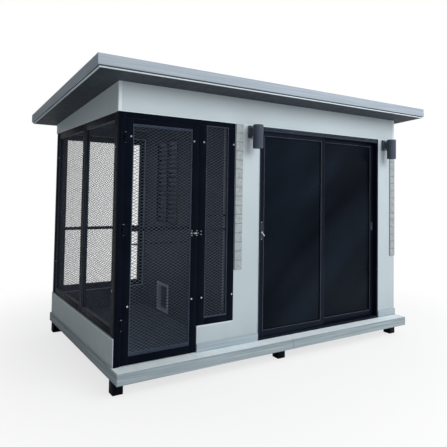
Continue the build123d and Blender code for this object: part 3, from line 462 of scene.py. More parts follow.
# Dark sheets on the run's inner faces: painted shade under the roof.
RUN_SHADE_SHEET = lining_board("painted_shade_run_sheet", "#222A35", "#2A333F", 300, "Z")
# Stoneware, fired and split: mottled grey, dry and rough, with lighter edges.
TILE = surface("split_face_stoneware", (30, "#8A9194", "#A4ABAE", 6.0), (20, 0.75, 0.92), (9, 0.7, 6.0),
               edge=("#B3B8BA", 3, 0.6), Specular_IOR_Level=0.25)
# Cement grout, trowelled behind the tiles: sandy and dull.
GROUT = surface("trowelled_grout", (12, "#596063", "#676E71", 4.0), None, (2, 0.3, 3.0), Roughness=0.9)
# Aluminium, extruded and anodised dark: satin, with draw lines along its length and a painted highlight along
# its edges.
ALUMINIUM = surface("dark_anodised_aluminium", (300, "#080B14", "#0E121D"), (0.34, 0.46),
                    lines=(2, 0.0, 1.0, 2.0, (1.0, 1.0, 0.01)), edge=("#3A4150", 2.5, 0.8),
                    Specular_IOR_Level=0.25, Specular_Tint=COOL)
# Stainless steel, fine brushed: bright, with short scratches one way.
STEEL = surface("brushed_stainless_steel", (20, "#D4D7DA", "#E8EAEC"), (0.24, 0.38),
                lines=(1.2, 0.0, 1.0, 2.0, (0.05, 1.0, 1.0)), Metallic=1.0)
# Float glass, tinted in the body: almost black, with dim slanting streaks painted in as reflection, a faint
# wave, and reflections tinted cool as a painted sky.
GLASS = surface("tinted_float_glass", (420, "#010204", "#151C25", 1.0, (0.25, 0.25, 1.0)), (260, 0.2, 0.3),
                (350, 0.12, 1.0), lean=(0, 0.7, 0), IOR=1.52, Transmission_Weight=0.25,
                Specular_IOR_Level=0.045, Specular_Tint=srgb("#7F9CC8"))
# Roofing steel, coated and roll-formed: satin grey, with dust that has run down the pans.
ROOF = surface("coated_roofing_steel", (45, "#89949A", "#9BA6AB", 4.0, (1.0, 0.04, 0.2)),
               (90, 0.4, 0.6, 3.0, (1.0, 0.1, 1.0)), (6, 0.06, 2.0), Specular_IOR_Level=0.4)
# Dark studded sheet on the run's deck: painted shade under the roof.
RUN_FLOOR_SHADE = moulding("painted_shade_studded_sheet", "#3A434E", "#46505C", 0.8, 9.0, shine=0.15)
RUBBER = moulding("epdm_rubber", "#0B0B0C", "#141415", 0.75, shine=0.2)
NYLON = moulding("moulded_nylon", "#C6C6C0", "#D4D4CE", 0.4)
OPAL = moulding("opal_acrylic", "#CFCEC7", "#DEDDD7", 0.3, Subsurface_Weight=0.3, Subsurface_Scale=0.01)
PET_PLASTIC = moulding("moulded_abs", "#D3D8DC", "#DFE3E6", 0.45)
FLAP = moulding("tinted_flexible_vinyl", "#14171B", "#1B1E23", 0.3)

SLOT_MATERIALS = {
    "wall_panel": PANEL, "fascia_board": FASCIA, "plinth_board": PLINTH, "deck_board": DECK,
    "skirting": SKIRTING, "tile": TILE, "black_steel": BLACK, "black_mesh": MESH, "base_steel": CHASSIS,
    "soffit": SOFFIT, "roof_sheet": ROOF, "roof_steel": PRIMER, "dark_aluminium": ALUMINIUM,
    "tinted_glass": GLASS,
    "bright_steel": STEEL, "lamp_body": LAMP, "lamp_lens": OPAL, "roller": NYLON, "rubber": RUBBER,
    "pet_frame": PET_PLASTIC, "flap": FLAP,
}


def paint_cad_nodes():
    """Gives every carried-over CAD node the material of its slot."""
    for row in frame["record"]["subparts"]:
        mesh = frame["nodes"][row["node"]].data
        mesh.materials.clear()
        mesh.materials.append(SLOT_MATERIALS[row["material_slot"]])


# ---- node trees for what repeats
SOCKETS = {float: "NodeSocketFloat", int: "NodeSocketInt", tuple: "NodeSocketVector"}
MATH, XYZ = "ShaderNodeMath", "ShaderNodeCombineXYZ"


def new_tree(name, inputs):
    """A geometry tree with a geometry input, inputs named {label: usual value}, and a material."""
    tree = bpy.data.node_groups.new(name, "GeometryNodeTree")
    tree.interface.new_socket("Geometry", in_out="INPUT", socket_type="NodeSocketGeometry")
    for label, value in inputs.items():
        socket = tree.interface.new_socket(label, in_out="INPUT", socket_type=SOCKETS[type(value)])
        socket.default_value = value
    tree.interface.new_socket("Material", in_out="INPUT", socket_type="NodeSocketMaterial")
    tree.interface.new_socket("Geometry", in_out="OUTPUT", socket_type="NodeSocketGeometry")
    return tree, add(tree, "NodeGroupInput").outputs


def close_tree(tree, geometry, given):
    """Realises the instances, sets the material and ends the tree."""
    solid = add(tree, "GeometryNodeRealizeInstances", {0: geometry})
    painted = add(tree, "GeometryNodeSetMaterial", {0: solid, "Material": given["Material"]})
    add(tree, "NodeGroupOutput", {0: painted})
    return tree


def grow(name, tree, values, material, body, replaced=(), points=(), smooth=False):
    """Runs a tree on a few points and keeps the result as a plain mesh piece."""
    seed = bpy.data.meshes.new(name)
    seed.from_pydata([tuple(p) for p in points], [], [])
    holder = bpy.data.objects.new(name + "_source", seed)
    scene.collection.objects.link(holder)
    modifier = holder.modifiers.new(name, "NODES")
    modifier.node_group = tree
    for item in tree.interface.items_tree:
        if item.in_out == "INPUT" and item.name in values:
            modifier[item.identifier] = values[item.name]
        if item.in_out == "INPUT" and item.name == "Material":
            modifier[item.identifier] = material
    graph = bpy.context.evaluated_depsgraph_get()
    mesh = bpy.data.meshes.new_from_object(holder.evaluated_get(graph))
    mesh.name = name
    holder.modifiers.remove(modifier)
    bpy.data.objects.remove(holder)
    if smooth:
        mesh.shade_smooth()
        mesh.set_sharp_from_angle(angle=math.radians(40))
    return put(name, mesh, material, body, replaced)


def expanded_metal_tree():
    """Expanded metal: zigzag strands that meet at flat bonds, every other row turned over."""
    tree, given = new_tree("expanded_metal", {
        "Corner": (0, 0, 0), "Turn": 0.0, "Width": 0.5,
        "Long pitch": 0.048, "Short pitch": 0.026, "Bond": 0.011,
        "Strand": 0.0026, "Sheet": 0.0015, "Points": 40, "Rows": 40,
        "Twist": 0.6})
    index = add(tree, "GeometryNodeInputIndex")
    odd = add(tree, MATH, {0: index, 1: 2.0}, operation="MODULO")
    pair = add(tree, MATH, {0: add(tree, MATH, {0: index, 1: 0.5}, operation="MULTIPLY")}, operation="FLOOR")
    side = add(tree, MATH, {0: odd, 1: 2.0, 2: -1.0}, operation="MULTIPLY_ADD")
    step = add(tree, MATH, {0: given["Long pitch"], 1: 0.5}, operation="MULTIPLY")
    reach = add(tree, MATH, {0: given["Bond"], 1: 0.5}, operation="MULTIPLY")
    bond = add(tree, MATH, {0: pair, 1: step}, operation="MULTIPLY")
    along = add(tree, MATH, {0: side, 1: reach, 2: bond}, operation="MULTIPLY_ADD")
    kept = add(tree, "ShaderNodeClamp", {0: along, 2: given["Width"]})
    quarter = add(tree, MATH, {0: given["Short pitch"], 1: 0.25}, operation="MULTIPLY")
    swing = add(tree, MATH, {0: given["Strand"], 1: -0.5, 2: quarter}, operation="MULTIPLY_ADD")
    turn_over = add(tree, MATH, {0: pair, 1: 2.0}, operation="MODULO")
    sign = add(tree, MATH, {0: turn_over, 1: -2.0, 2: 1.0}, operation="MULTIPLY_ADD")
    spot = add(tree, XYZ, {0: kept, 2: add(tree, MATH, {0: swing, 1: sign}, operation="MULTIPLY")})
    line = add(tree, "GeometryNodeCurvePrimitiveLine", {"End": (1.0, 0.0, 0.0)})
    dots = add(tree, "GeometryNodeResampleCurve", {0: line, "Count": given["Points"]})
    zigzag = add(tree, "GeometryNodeSetPosition", {0: dots, "Position": spot})
    leaned = add(tree, "GeometryNodeSetCurveTilt", {0: zigzag, "Tilt": given["Twist"]})
    section = add(tree, "GeometryNodeCurvePrimitiveQuadrilateral",
                  {"Width": given["Strand"], "Height": given["Sheet"]})
    strand = add(tree, "GeometryNodeCurveToMesh", {0: leaned, 1: section, "Fill Caps": True})
    rise = add(tree, XYZ, {2: add(tree, MATH, {0: given["Short pitch"], 1: 0.5}, operation="MULTIPLY")})
    rows = add(tree, "GeometryNodeMeshLine", {"Count": given["Rows"], "Offset": rise})
    over = add(tree, XYZ, {0: add(tree, MATH, {0: odd, 1: math.pi}, operation="MULTIPLY")})
    sheet = add(tree, "GeometryNodeInstanceOnPoints", {0: rows, "Instance": strand, "Rotation": over})
    turn = add(tree, XYZ, {2: given["Turn"]})
    placed = add(tree, "GeometryNodeTransform", {0: sheet, "Translation": given["Corner"], "Rotation": turn})
    return close_tree(tree, placed, given)


def blade_tree():
    """Louvre blades: one slim rounded blade, leaned and stacked."""
    tree, given = new_tree("louvre_blades", {
        "Start": (0, 0, 0), "Length": 0.2, "Chord": 0.05,
        "Thickness": 0.006, "Lean": 0.6, "Pitch": 0.05, "Count": 18})
    end = add(tree, XYZ, {1: given["Length"]})
    line = add(tree, "GeometryNodeCurvePrimitiveLine", {"End": end})
    ring = add(tree, "GeometryNodeCurvePrimitiveCircle", {"Resolution": 12, "Radius": 0.5})
    squeeze = add(tree, XYZ, {0: given["Chord"], 1: given["Thickness"], 2: 1.0})
    oval = add(tree, "GeometryNodeTransform", {0: ring, "Scale": squeeze})
    blade = add(tree, "GeometryNodeCurveToMesh", {0: line, 1: oval, "Fill Caps": True})
    lean = add(tree, XYZ, {1: given["Lean"]})
    rise = add(tree, XYZ, {2: given["Pitch"]})
    stack = add(tree, "GeometryNodeMeshLine", {
        "Count": given["Count"], "Start Location": given["Start"], "Offset": rise})
    blades = add(tree, "GeometryNodeInstanceOnPoints", {0: stack, "Instance": blade, "Rotation": lean})
    return close_tree(tree, blades, given)


def screw_tree():
    """Pan-head screws with a washer, one on each given point, all facing one way."""
    tree, given = new_tree("pan_head_screws", {
        "Radius": 0.006, "Height": 0.0035, "Facing": (0, 0, 1),
        "Washer": 1.35, "Sides": 20})
    washer_r = add(tree, MATH, {0: given["Radius"], 1: given["Washer"]}, operation="MULTIPLY")
    washer_h = add(tree, MATH, {0: given["Height"], 1: 0.6}, operation="MULTIPLY")
    washer = add(tree, "GeometryNodeMeshCylinder", {
        "Vertices": given["Sides"], "Radius": washer_r, "Depth": washer_h})
    dome = add(tree, "GeometryNodeMeshUVSphere", {
        "Rings": 8, "Segments": given["Sides"], "Radius": given["Radius"]})
    flat = add(tree, XYZ, {
        0: 1.0, 1: 1.0, 2: add(tree, MATH, {0: given["Height"], 1: given["Radius"]}, operation="DIVIDE")})
    head = add(tree, "GeometryNodeTransform", {0: dome, "Scale": flat})
    whole = add(tree, "GeometryNodeJoinGeometry", {0: washer})
    tree.links.new(head.outputs[0], whole.inputs[0])
    aim = add(tree, "FunctionNodeAlignRotationToVector", {"Vector": given["Facing"]}, axis="Z")
    screws = add(tree, "GeometryNodeInstanceOnPoints", {
        0: given["Geometry"], "Instance": whole, "Rotation": aim})
    return close_tree(tree, screws, given)


def tile_tree():
    """A column of split-face tiles whose faces are uneven."""
    tree, given = new_tree("split_face_tiles", {
        "Start": (0, 0, 0), "Size": (0.08, 0.01, 0.08), "Course": 0.084,
        "Count": 16, "Relief": 0.002, "Seed": 2.0})
    cube = add(tree, "GeometryNodeMeshCube", {
        "Size": given["Size"], "Vertices X": 15, "Vertices Y": 2, "Vertices Z": 15})
    rise = add(tree, XYZ, {2: given["Course"]})
    column = add(tree, "GeometryNodeMeshLine", {
        "Count": given["Count"], "Start Location": given["Start"], "Offset": rise})
    tiles = add(tree, "GeometryNodeInstanceOnPoints", {0: column, "Instance": cube})
    solid = add(tree, "GeometryNodeRealizeInstances", {0: tiles})
    chips_per_metre = 45.0
    rough = add(tree, "ShaderNodeTexNoise", {"Scale": chips_per_metre, "Detail": 4.0, "W": given["Seed"]},
                noise_dimensions="4D")
    centred = add(tree, MATH, {0: rough, 1: 0.5}, operation="SUBTRACT")
    offset = add(tree, XYZ, {1: add(tree, MATH, {0: centred, 1: given["Relief"]}, operation="MULTIPLY")})
    outer = add(tree, "ShaderNodeSeparateXYZ", {0: add(tree, "GeometryNodeInputNormal")}).outputs["Y"]
    front = add(tree, MATH, {0: outer, 1: -0.3}, operation="LESS_THAN")
    pushed = add(tree, "GeometryNodeSetPosition", {0: solid, "Selection": front, "Offset": offset})
    return close_tree(tree, pushed, given)


EXPANDED = expanded_metal_tree()
BLADES = blade_tree()
SCREWS = screw_tree()
TILES = tile_tree()


# ---- steel frames and wire mesh
LONG_PITCH, SHORT_PITCH, STRAND = 48 * MM, 26 * MM, 2.8 * MM      # the diamond's long and short way
BEAD_SECTION = [(0.0, 0.3), (0.25, 0.0), (0.8, 0.35), (1.0, 0.8)]      # share of width, share of depth
FRONT, LEFT = (0, -1, 0), (-1, 0, 0)


def eased(name, nodes, edge_mm, material, body):
    """The square-cut solids of some nodes again, with rounded edges, in their place."""
    bm = bmesh.new()
    for node in nodes:
        for low, high in solids(node):
            add_block(bm, low, high, edge_mm)
    put_bm(name, bm, material, body, nodes, smooth=True)


def wire_sheet(name, low, high, axis, body, node):
    """Fits whole diamonds into one opening that runs along an axis, and grows the sheet there."""
    width, height = high[axis] - low[axis], high.z - low.z
    across = max(2, round(width / LONG_PITCH))
    rows = 2 * max(2, round(height / SHORT_PITCH)) - 1
    short = 2 * height / (rows + 1)
    depth = (low[1 - axis] + high[1 - axis]) / 2
    corner = [depth, depth, low.z + short / 2]
    corner[axis] = low[axis]
    values = {
        "Corner": corner, "Turn": axis * math.pi / 2, "Width": width, "Long pitch": width / across,
        "Short pitch": short, "Bond": 11 * MM, "Strand": STRAND, "Sheet": 1.6 * MM,
        "Points": 4 * across + 2, "Rows": rows, "Twist": 0.6}
    grow(name, EXPANDED, values, MESH, body, (node,))


def make_wire():
    """Expanded metal in the wire door and in the run's fixed panels."""
    for name, node, body in (("door_wire", "door_mesh", "mesh_door"), ("front_wire", "front_mesh", "root"),
                             ("rear_wire", "rear_mesh", "root")):
        wire_sheet(name, *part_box(node), 0, body, node)
    for name, box in zip(("side_wire_front", "side_wire_rear"), solids("side_mesh")):
        wire_sheet(name, *box, 1, "root", "side_mesh")


def make_frames():
    """Steel tubes with eased edges, and the beads that clamp the mesh just under the tubes' face."""
    eased("door_tubes", ["door_frame"], 1.6, BLACK, "mesh_door")
    steel = ["run_posts", "front_head", "front_panel_frame", "side_panel_frames", "rear_panel_frame"]
    eased("run_tubes", steel, 1.6, BLACK, "root")
    eased("base_feet", ["feet"], 3.0, CHASSIS, "root")
    eased("deck_sheet", ["floor_deck"], 1.6, DECK, "root")
    for name, node, tubes, axis, side, widths_mm, body in (
            ("door_bead", "door_mesh", "door_frame", 1, 0, (10, 10, 26, 20), "mesh_door"),
            ("front_bead", "front_mesh", "front_panel_frame", 1, 0, (8, 8, 12, 8), "root"),
            ("rear_bead", "rear_mesh", "rear_panel_frame", 1, 1, (8, 8, 8, 8), "root"),
            ("side_bead", "side_mesh", "side_panel_frames", 0, 0, (8, 8, 8, 8), "root")):
        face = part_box(tubes)[side][axis]
        gap = abs(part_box(node)[side][axis] - face) / MM
        section = [(share, 2 + part * min(gap - 2, 6)) for share, part in BEAD_SECTION]
        section += [(1.0, gap), (0.0, gap)]
        for i, (low, high) in enumerate(solids(node)):
            bm = bmesh.new()
            add_rim(bm, facing(axis, face, -1 if side else 1), (low[1 - axis], low.z),
                    (high[1 - axis], high.z), widths_mm, section)
            put_bm(f"{name}_{i}", bm, BEAD, body)


def screw_row(name, points, size_mm, aim, body, material=STEEL, replaced=()):
    """Screws on some points; size_mm is the head's radius and height."""
    values = {"Radius": size_mm[0] * MM, "Height": size_mm[1] * MM, "Facing": aim}
    grow(name, SCREWS, values, material, body, replaced, points, smooth=True)


def make_screws():
    """Screws on each node's own places; those on the run's side look left."""
    for node, body in (("door_screws", "mesh_door"), ("frame_screws", "root")):
        front, left = [], []
        for low, high in solids(node):
            x, y, z = (low + high) / 2
            if high.x - low.x > high.y - low.y:
                front.append(Vector((x, high.y, z)))
            elif high.y > low.y + MM:
                left.append(Vector((high.x, y, z)))
        for side, points, aim in (("_front", front, FRONT), ("_left", left, LEFT)):
            if points:
                screw_row(node + side, points, (5.6, 3.4), aim, body, replaced=(node,))
    for node, body, shift in (("hinge_leaves_post", "root", -0.24), ("hinge_leaves_door", "mesh_door", 0.24)):
        points = []
        for low, high in solids(node):
            x, y = (low.x + high.x) / 2 + shift * (high.x - low.x), high.y - 3 * MM
            points += [Vector((x, y, low.z + part * (high.z - low.z))) for part in (0.18, 0.5, 0.82)]
        screw_row(node + "_heads", points, (3.0, 1.4), FRONT, body, material=BLACK)


# ---- grained boards and tiles
STREAKS = ((2.5, 190, 0.5), (8.0, 520, 0.35))      # waves per metre along and across a board, and weight


def spread(length, pitch, edge):
    """Places along a length: close together within a rounded edge at both ends, even between."""
    close = [edge * share for share in (0.0, 0.15, 0.4, 1.0)]
    count = max(2, round((length - 2 * edge) / pitch))
    even = [edge + (length - 2 * edge) * i / count for i in range(1, count)]
    return close + even + [length - e for e in reversed(close)]


def add_board(bm, low, high, out, grain, edge, turn):
    """A board between two corners whose face, on the side `out`, is pressed with a streaky grain."""
    out = Vector(out)
    along = Vector((abs(out.y), abs(out.x), 0))
    size = high - low
    corner = Vector([high[i] if out[i] > 0 else low[i] for i in range(3)])
    thick, length, height = abs(size.dot(out)), size.dot(along), size.z
    us, ws = spread(length, 14 * MM, edge), spread(height, 2.8 * MM, edge)

    def point(u, w, depth):
        spot = corner + along * u + Vector((0, 0, w)) - out * depth
        return bm.verts.new(turn @ spot if turn else spot)

    grid = []
    for u in us:
        column = []
        for w in ws:
            relief = 0.5
            for (lengthways, across, weight), start in zip(STREAKS, (corner.x, corner.y + 5)):
                relief += weight * noise.noise(Vector((u * lengthways, w * across, start)))
            depth = grain * min(1.0, max(0.0, relief))
            for near in (min(w, height - w), min(u, length - u)):
                if near < edge:
                    depth += edge - math.sqrt(max(0.0, edge ** 2 - (edge - near) ** 2))
            column.append(point(u, w, min(depth, thick * 0.6)))
        grid.append(column)
    nu, nw = len(us), len(ws)
    for i in range(nu - 1):
        for k in range(nw - 1):
            bm.faces.new((grid[i][k], grid[i + 1][k], grid[i + 1][k + 1], grid[i][k + 1]))
    loop = [(i, 0) for i in range(nu)] + [(nu - 1, k) for k in range(1, nw)]
    loop += [(i, nw - 1) for i in range(nu - 2, -1, -1)] + [(0, k) for k in range(nw - 2, 0, -1)]
    rim = [grid[i][k] for i, k in loop]
    back = [point(us[i], ws[k], thick) for i, k in loop]
    for n in range(len(loop)):
        m = (n + 1) % len(loop)
        bm.faces.new((rim[n], rim[m], back[m], back[n]))
    bm.faces.new(back)


def make_boards():
    """Fascia, plinth and skirting boards, grained on the side that shows."""
    for name, node, slot, turn, edge_mm in (
            ("fascia", "fascia_boards", "fascia_board", LEVEL, 2),
            ("plinth", "plinth_boards", "plinth_board", None, 3),
            ("skirting", "skirting_boards", "skirting", None, 2)):
        boxes = solids(node, turn)
        left, right = min(b[0].x for b in boxes), max(b[1].x for b in boxes)
        middle = (min(b[0].y for b in boxes) + max(b[1].y for b in boxes)) / 2
        bm = bmesh.new()
        for low, high in boxes:
            if high.x - low.x > high.y - low.y:
                out = (0, -1, 0) if high.y < middle else (0, 1, 0)
            else:
                out = (-1, 0, 0) if low.x < (left + right) / 2 else (1, 0, 0)
            add_board(bm, low, high, out, 0.9 * MM, edge_mm * MM, turn and PITCH)
        put_bm(name, bm, SLOT_MATERIALS[slot], "root", (node,), smooth=True)


def make_tiles():
    """Two columns of tiles on a bed of grout."""
    courses = 16
    bed = bmesh.new()
    for i, (low, high) in enumerate(solids("tile_strips")):
        course = (high.z - low.z) / courses
        size = (high.x - low.x - 2.4 * MM, 10 * MM, course - 5.0 * MM)
        start = Vector(((low.x + high.x) / 2, low.y + 6.2 * MM, low.z + course / 2))
        values = {"Start": start, "Size": size, "Course": course, "Count": courses, "Relief": 2.2 * MM,
                  "Seed": 2.0 + 5 * i}
        grow(f"tile_column_{i}", TILES, values, TILE, "root", ("tile_strips",))
        add_block(bed, shifted(low, 0.4, 4.5, 0.4), high)
    put_bm("tile_bed", bed, GROUT, "root", ("tile_strips",))


# ---- trims, flashings and the dark sheets painted as shade in the run
def ceiling(y):
    """Height of the soffit's underside above a place y, both in metres of the shared frame."""
    low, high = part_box("soffit_board")
    return low.z + (high.y - y) * math.tan(SLOPE)


def add_blocks(bm, *spans_mm, edge_mm=0.0):
    """Boxes given in millimetres from the house corner: (x0, y0, z0, x1, y1, z1)."""
    for span in spans_mm:
        add_block(bm, at(*span[:3]), at(*span[3:]), edge_mm)


def in_mm(node):
    """Lowest and highest corner of a CAD node in millimetres from the house corner."""
    return [[round(c / MM, 2) for c in corner - CORNER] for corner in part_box(node)]


def make_run_shade():
    """Dark sheets and a dark studded floor sheet inside the wire run: painted shade, where the roof shades
    the run.
    """
    sheet, gap = 1.4 * MM, 3 * MM
    partition, deck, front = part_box("partition"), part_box("floor_deck"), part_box("kerb_front")
    kerb, rear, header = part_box("kerb_left"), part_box("kerb_rear"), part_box("header_left")
    x0, x1 = kerb[1].x + 0.2 * MM, partition[0].x - 0.1 * MM
    y0, y1 = header[0].y + 0.2 * MM, rear[0].y - 0.2 * MM
    floor_z, kerb_z, head_z = deck[1].z, kerb[1].z - 2 * MM, header[0].z + 2 * MM
    split = ceiling(y1) - 4 * MM
    # Dark sheets on the run's inner faces, with holes for the window and pet door: painted shade.
    bm, holes = bmesh.new(), []
    for low, high in (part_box("louvre_frame"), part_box("pet_door_frame")):
        holes.append(((low.y + MM, low.z + MM), (high.y - MM, high.z - MM)))
    add_sheet(bm, facing(0, x1 - sheet), (y0, floor_z + gap), (y1, split), holes, sheet)
    for left, right, bottom in ((x1 - sheet, x1, split), (x0, x0 + sheet, head_z)):
        outline = [(left, y0), (right, y0), (right, y1), (left, y1)]
        add_prism(bm, outline, bottom, lambda y: ceiling(y) - gap)
    for low, high in (
            ((x0, y0, head_z), (x1, y0 + sheet, ceiling(y0) - gap)),
            ((x0, y1 - sheet, head_z), (x1, y1, split)),
            ((x0, y0, floor_z + gap), (x0 + sheet, y1, kerb_z)),
            ((x0, y1 - sheet, floor_z + gap), (x1, y1, kerb_z)),
            ((front[0].x + 2 * MM, y0, floor_z + gap), (x1, y0 + sheet, kerb_z))):
        add_block(bm, low, high)
    put_bm("run_shade_sheets", bm, RUN_SHADE_SHEET, "root")
    # The dark floor sheet: painted shade on the run's deck.
    bm = bmesh.new()
    door_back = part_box("door_frame")[1].y
    add_block(bm, (x0, y0, floor_z), (x1, y1, floor_z + gap), 1)
    add_block(bm, (x0, door_back + 4 * MM, floor_z), (front[0].x - 2 * MM, y0, floor_z + gap), 1)
    put_bm("run_floor_shade", bm, RUN_FLOOR_SHADE, "root")


def make_trims():
    """Soffit edge strips, corner flashings, kerb cappings and wall joint covers."""
    # The soffit edge strips and flashings take the lighter flashing tone, a painted highlight.
    low, high = level_box("soffit_board")
    bm, proud, back = bmesh.new(), 0.9 * MM, 11 * MM
    for one, two in (
            ((low.x - proud, low.y - proud), (high.x + proud, low.y + back)),
            ((low.x - proud, high.y - back), (high.x + proud, high.y + proud)),
            ((low.x - proud, low.y + back), (low.x + back, high.y - back)),
            ((high.x - back, low.y + back), (high.x + proud, high.y - back))):
        add_block(bm, (*one, low.z - 1.2 * MM), (*two, high.z - 0.5 * MM), 0.4, turn=PITCH)
    put_bm("soffit_edge", bm, HIGHLIT_TRIM, "root", smooth=True)

    bm, leg, skin = bmesh.new(), 28 * MM, MM
    (x0, y0, foot), (x1, y1, _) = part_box("header_front")[0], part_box("wall_right")[1]
    skirt_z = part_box("skirting_boards")[1].z
    for x, y, dx, dy, z in (
            (x0, y0, 1, 1, foot), (x1, y0, -1, 1, foot), (x1, y1, -1, -1, skirt_z), (x0, y1, 1, -1, foot)):
        a, b = x - dx * skin, y - dy * skin
        outline = [(a, b), (x + dx * leg, b), (x + dx * leg, y), (x, y), (x, y + dy * leg), (a, y + dy * leg)]
        add_prism(bm, outline, z, lambda y: ceiling(y) - MM)
    (kerb_left, _, _), (kerb_right, _, kerb) = in_mm("kerb_front")
    (door_left, _, _), (door_right, _, head) = in_mm("slider_frame")
    (length, depth), skirt = in_mm("wall_right")[1][:2], in_mm("skirting_boards")[1][2]
    top, lip = kerb + 0.8, kerb - 14
    add_blocks(bm, (-0.8, 56, kerb - 1, 12, depth - 62, top), (-0.8, 0, lip, 0, depth, top),
               (kerb_left, -0.8, kerb - 1, kerb_right, 10, top), (kerb_left, -0.8, lip, kerb_right, 0, top),
               (door_left - 5.5, -2.5, skirt, door_left, 0, head),
               (door_right, -2.5, skirt, door_right + 3, 0, head),
               (-0.6, -0.6, head, length, 0, head + 6), (-0.6, 0, head, 0, depth, head + 6))
    put_bm("flashings", bm, HIGHLIT_TRIM, "root")

    bm, wide, proud, rear_top = bmesh.new(), 24, 1.4, 2149
    for x in (1840, 2600):
        add_blocks(bm, (x, depth, skirt, x + wide, depth + proud, rear_top), edge_mm=0.5)
    for y in (660, 1320):
        side_top = (ceiling(at(0, y + wide, 0).y) - CORNER.z) / MM - 1
        add_blocks(bm, (length, y, skirt, length + proud, y + wide, side_top), edge_mm=0.5)
    put_bm("wall_joint_covers", bm, PANEL, "root")


def level_box(node):
    """Box of a pitched roof node in the level position."""
    return box_of([LEVEL @ v.co for v in frame["nodes"][node].data.vertices])


def make_roof():
    """Screws with washers along the crests of the roof sheet's ribs."""
    top = level_box("roof_sheet")[1].z
    tops = [LEVEL @ v.co for v in frame["nodes"]["roof_sheet"].data.vertices]
    tops = [p for p in tops if p.z > top - 0.4 * MM]
    places = sorted({round(p.x, 4) for p in tops})
    crests = [(a + b) / 2 for a, b in zip(places, places[1:]) if 15 * MM < b - a < 40 * MM]
    front, rear = min(p.y for p in tops), max(p.y for p in tops)
    rows, inset = 5, 70 * MM
    step = (rear - front - 2 * inset) / (rows - 1)
    points = [PITCH @ Vector((x, front + inset + step * i, top)) for x in crests for i in range(rows)]
    screw_row("roof_screws", points, (5.5, 5.0), (0, math.sin(SLOPE), math.cos(SLOPE)), "root")


# ---- wall lamps
def make_lamps():
    """Turned lamp tubes with a groove near each rim, their short arms and their wall plates."""
    tubes, plates, gaskets = bmesh.new(), bmesh.new(), bmesh.new()
    screws = []
    for (low, high), (base_low, base_high) in zip(solids("lamp_housings"), solids("lamp_bases")):
        radius = (high.x - low.x) / 2
        axis = Vector(((low.x + high.x) / 2, low.y + radius, low.z))
        tall, r, recess = (high.z - low.z) / MM, radius / MM, 16.0
        half = [(0, recess), (r - 5, recess), (r - 4.4, 1.5), (r - 3.2, 0), (r - 1.2, 0), (r, 1.4), (r, 11),
                (r - 1.1, 12), (r - 1.1, 14.5), (r, 15.5)]
        add_lathe(tubes, half + [(a, tall - b) for a, b in reversed(half)], axis, steps=64)
        middle = (base_low + base_high) / 2
        reach = (base_low.y - axis.y) / MM - r * 0.55
        arm = [(0, 0), (40, 0), (40, 1.5), (36, 4), (34, 8), (34, reach), (0, reach)]
        add_lathe(tubes, arm, (middle.x, base_low.y, middle.z), TO_FRONT)
        add_plate(plates, base_low, shifted(base_high, 0, -2.5, 0), 1, 6, 2.2)
        back = (base_low.x, base_high.y, base_low.z)
        add_block(gaskets, shifted(back, 2, -3, 2), shifted(base_high, -2, 0, -2))
        screws += [Vector((middle.x, base_low.y, z)) for z in (base_low.z + 9 * MM, base_high.z - 9 * MM)]
    put_bm("lamp_tubes", tubes, LAMP, "root", ("lamp_housings",), smooth=True)
    put_bm("lamp_plates", plates, LAMP, "root", ("lamp_bases",), smooth=True)
    put_bm("lamp_gaskets", gaskets, RUBBER, "root", ("lamp_bases",))
    screw_row("lamp_screws", screws, (3.4, 1.8), FRONT, "root")


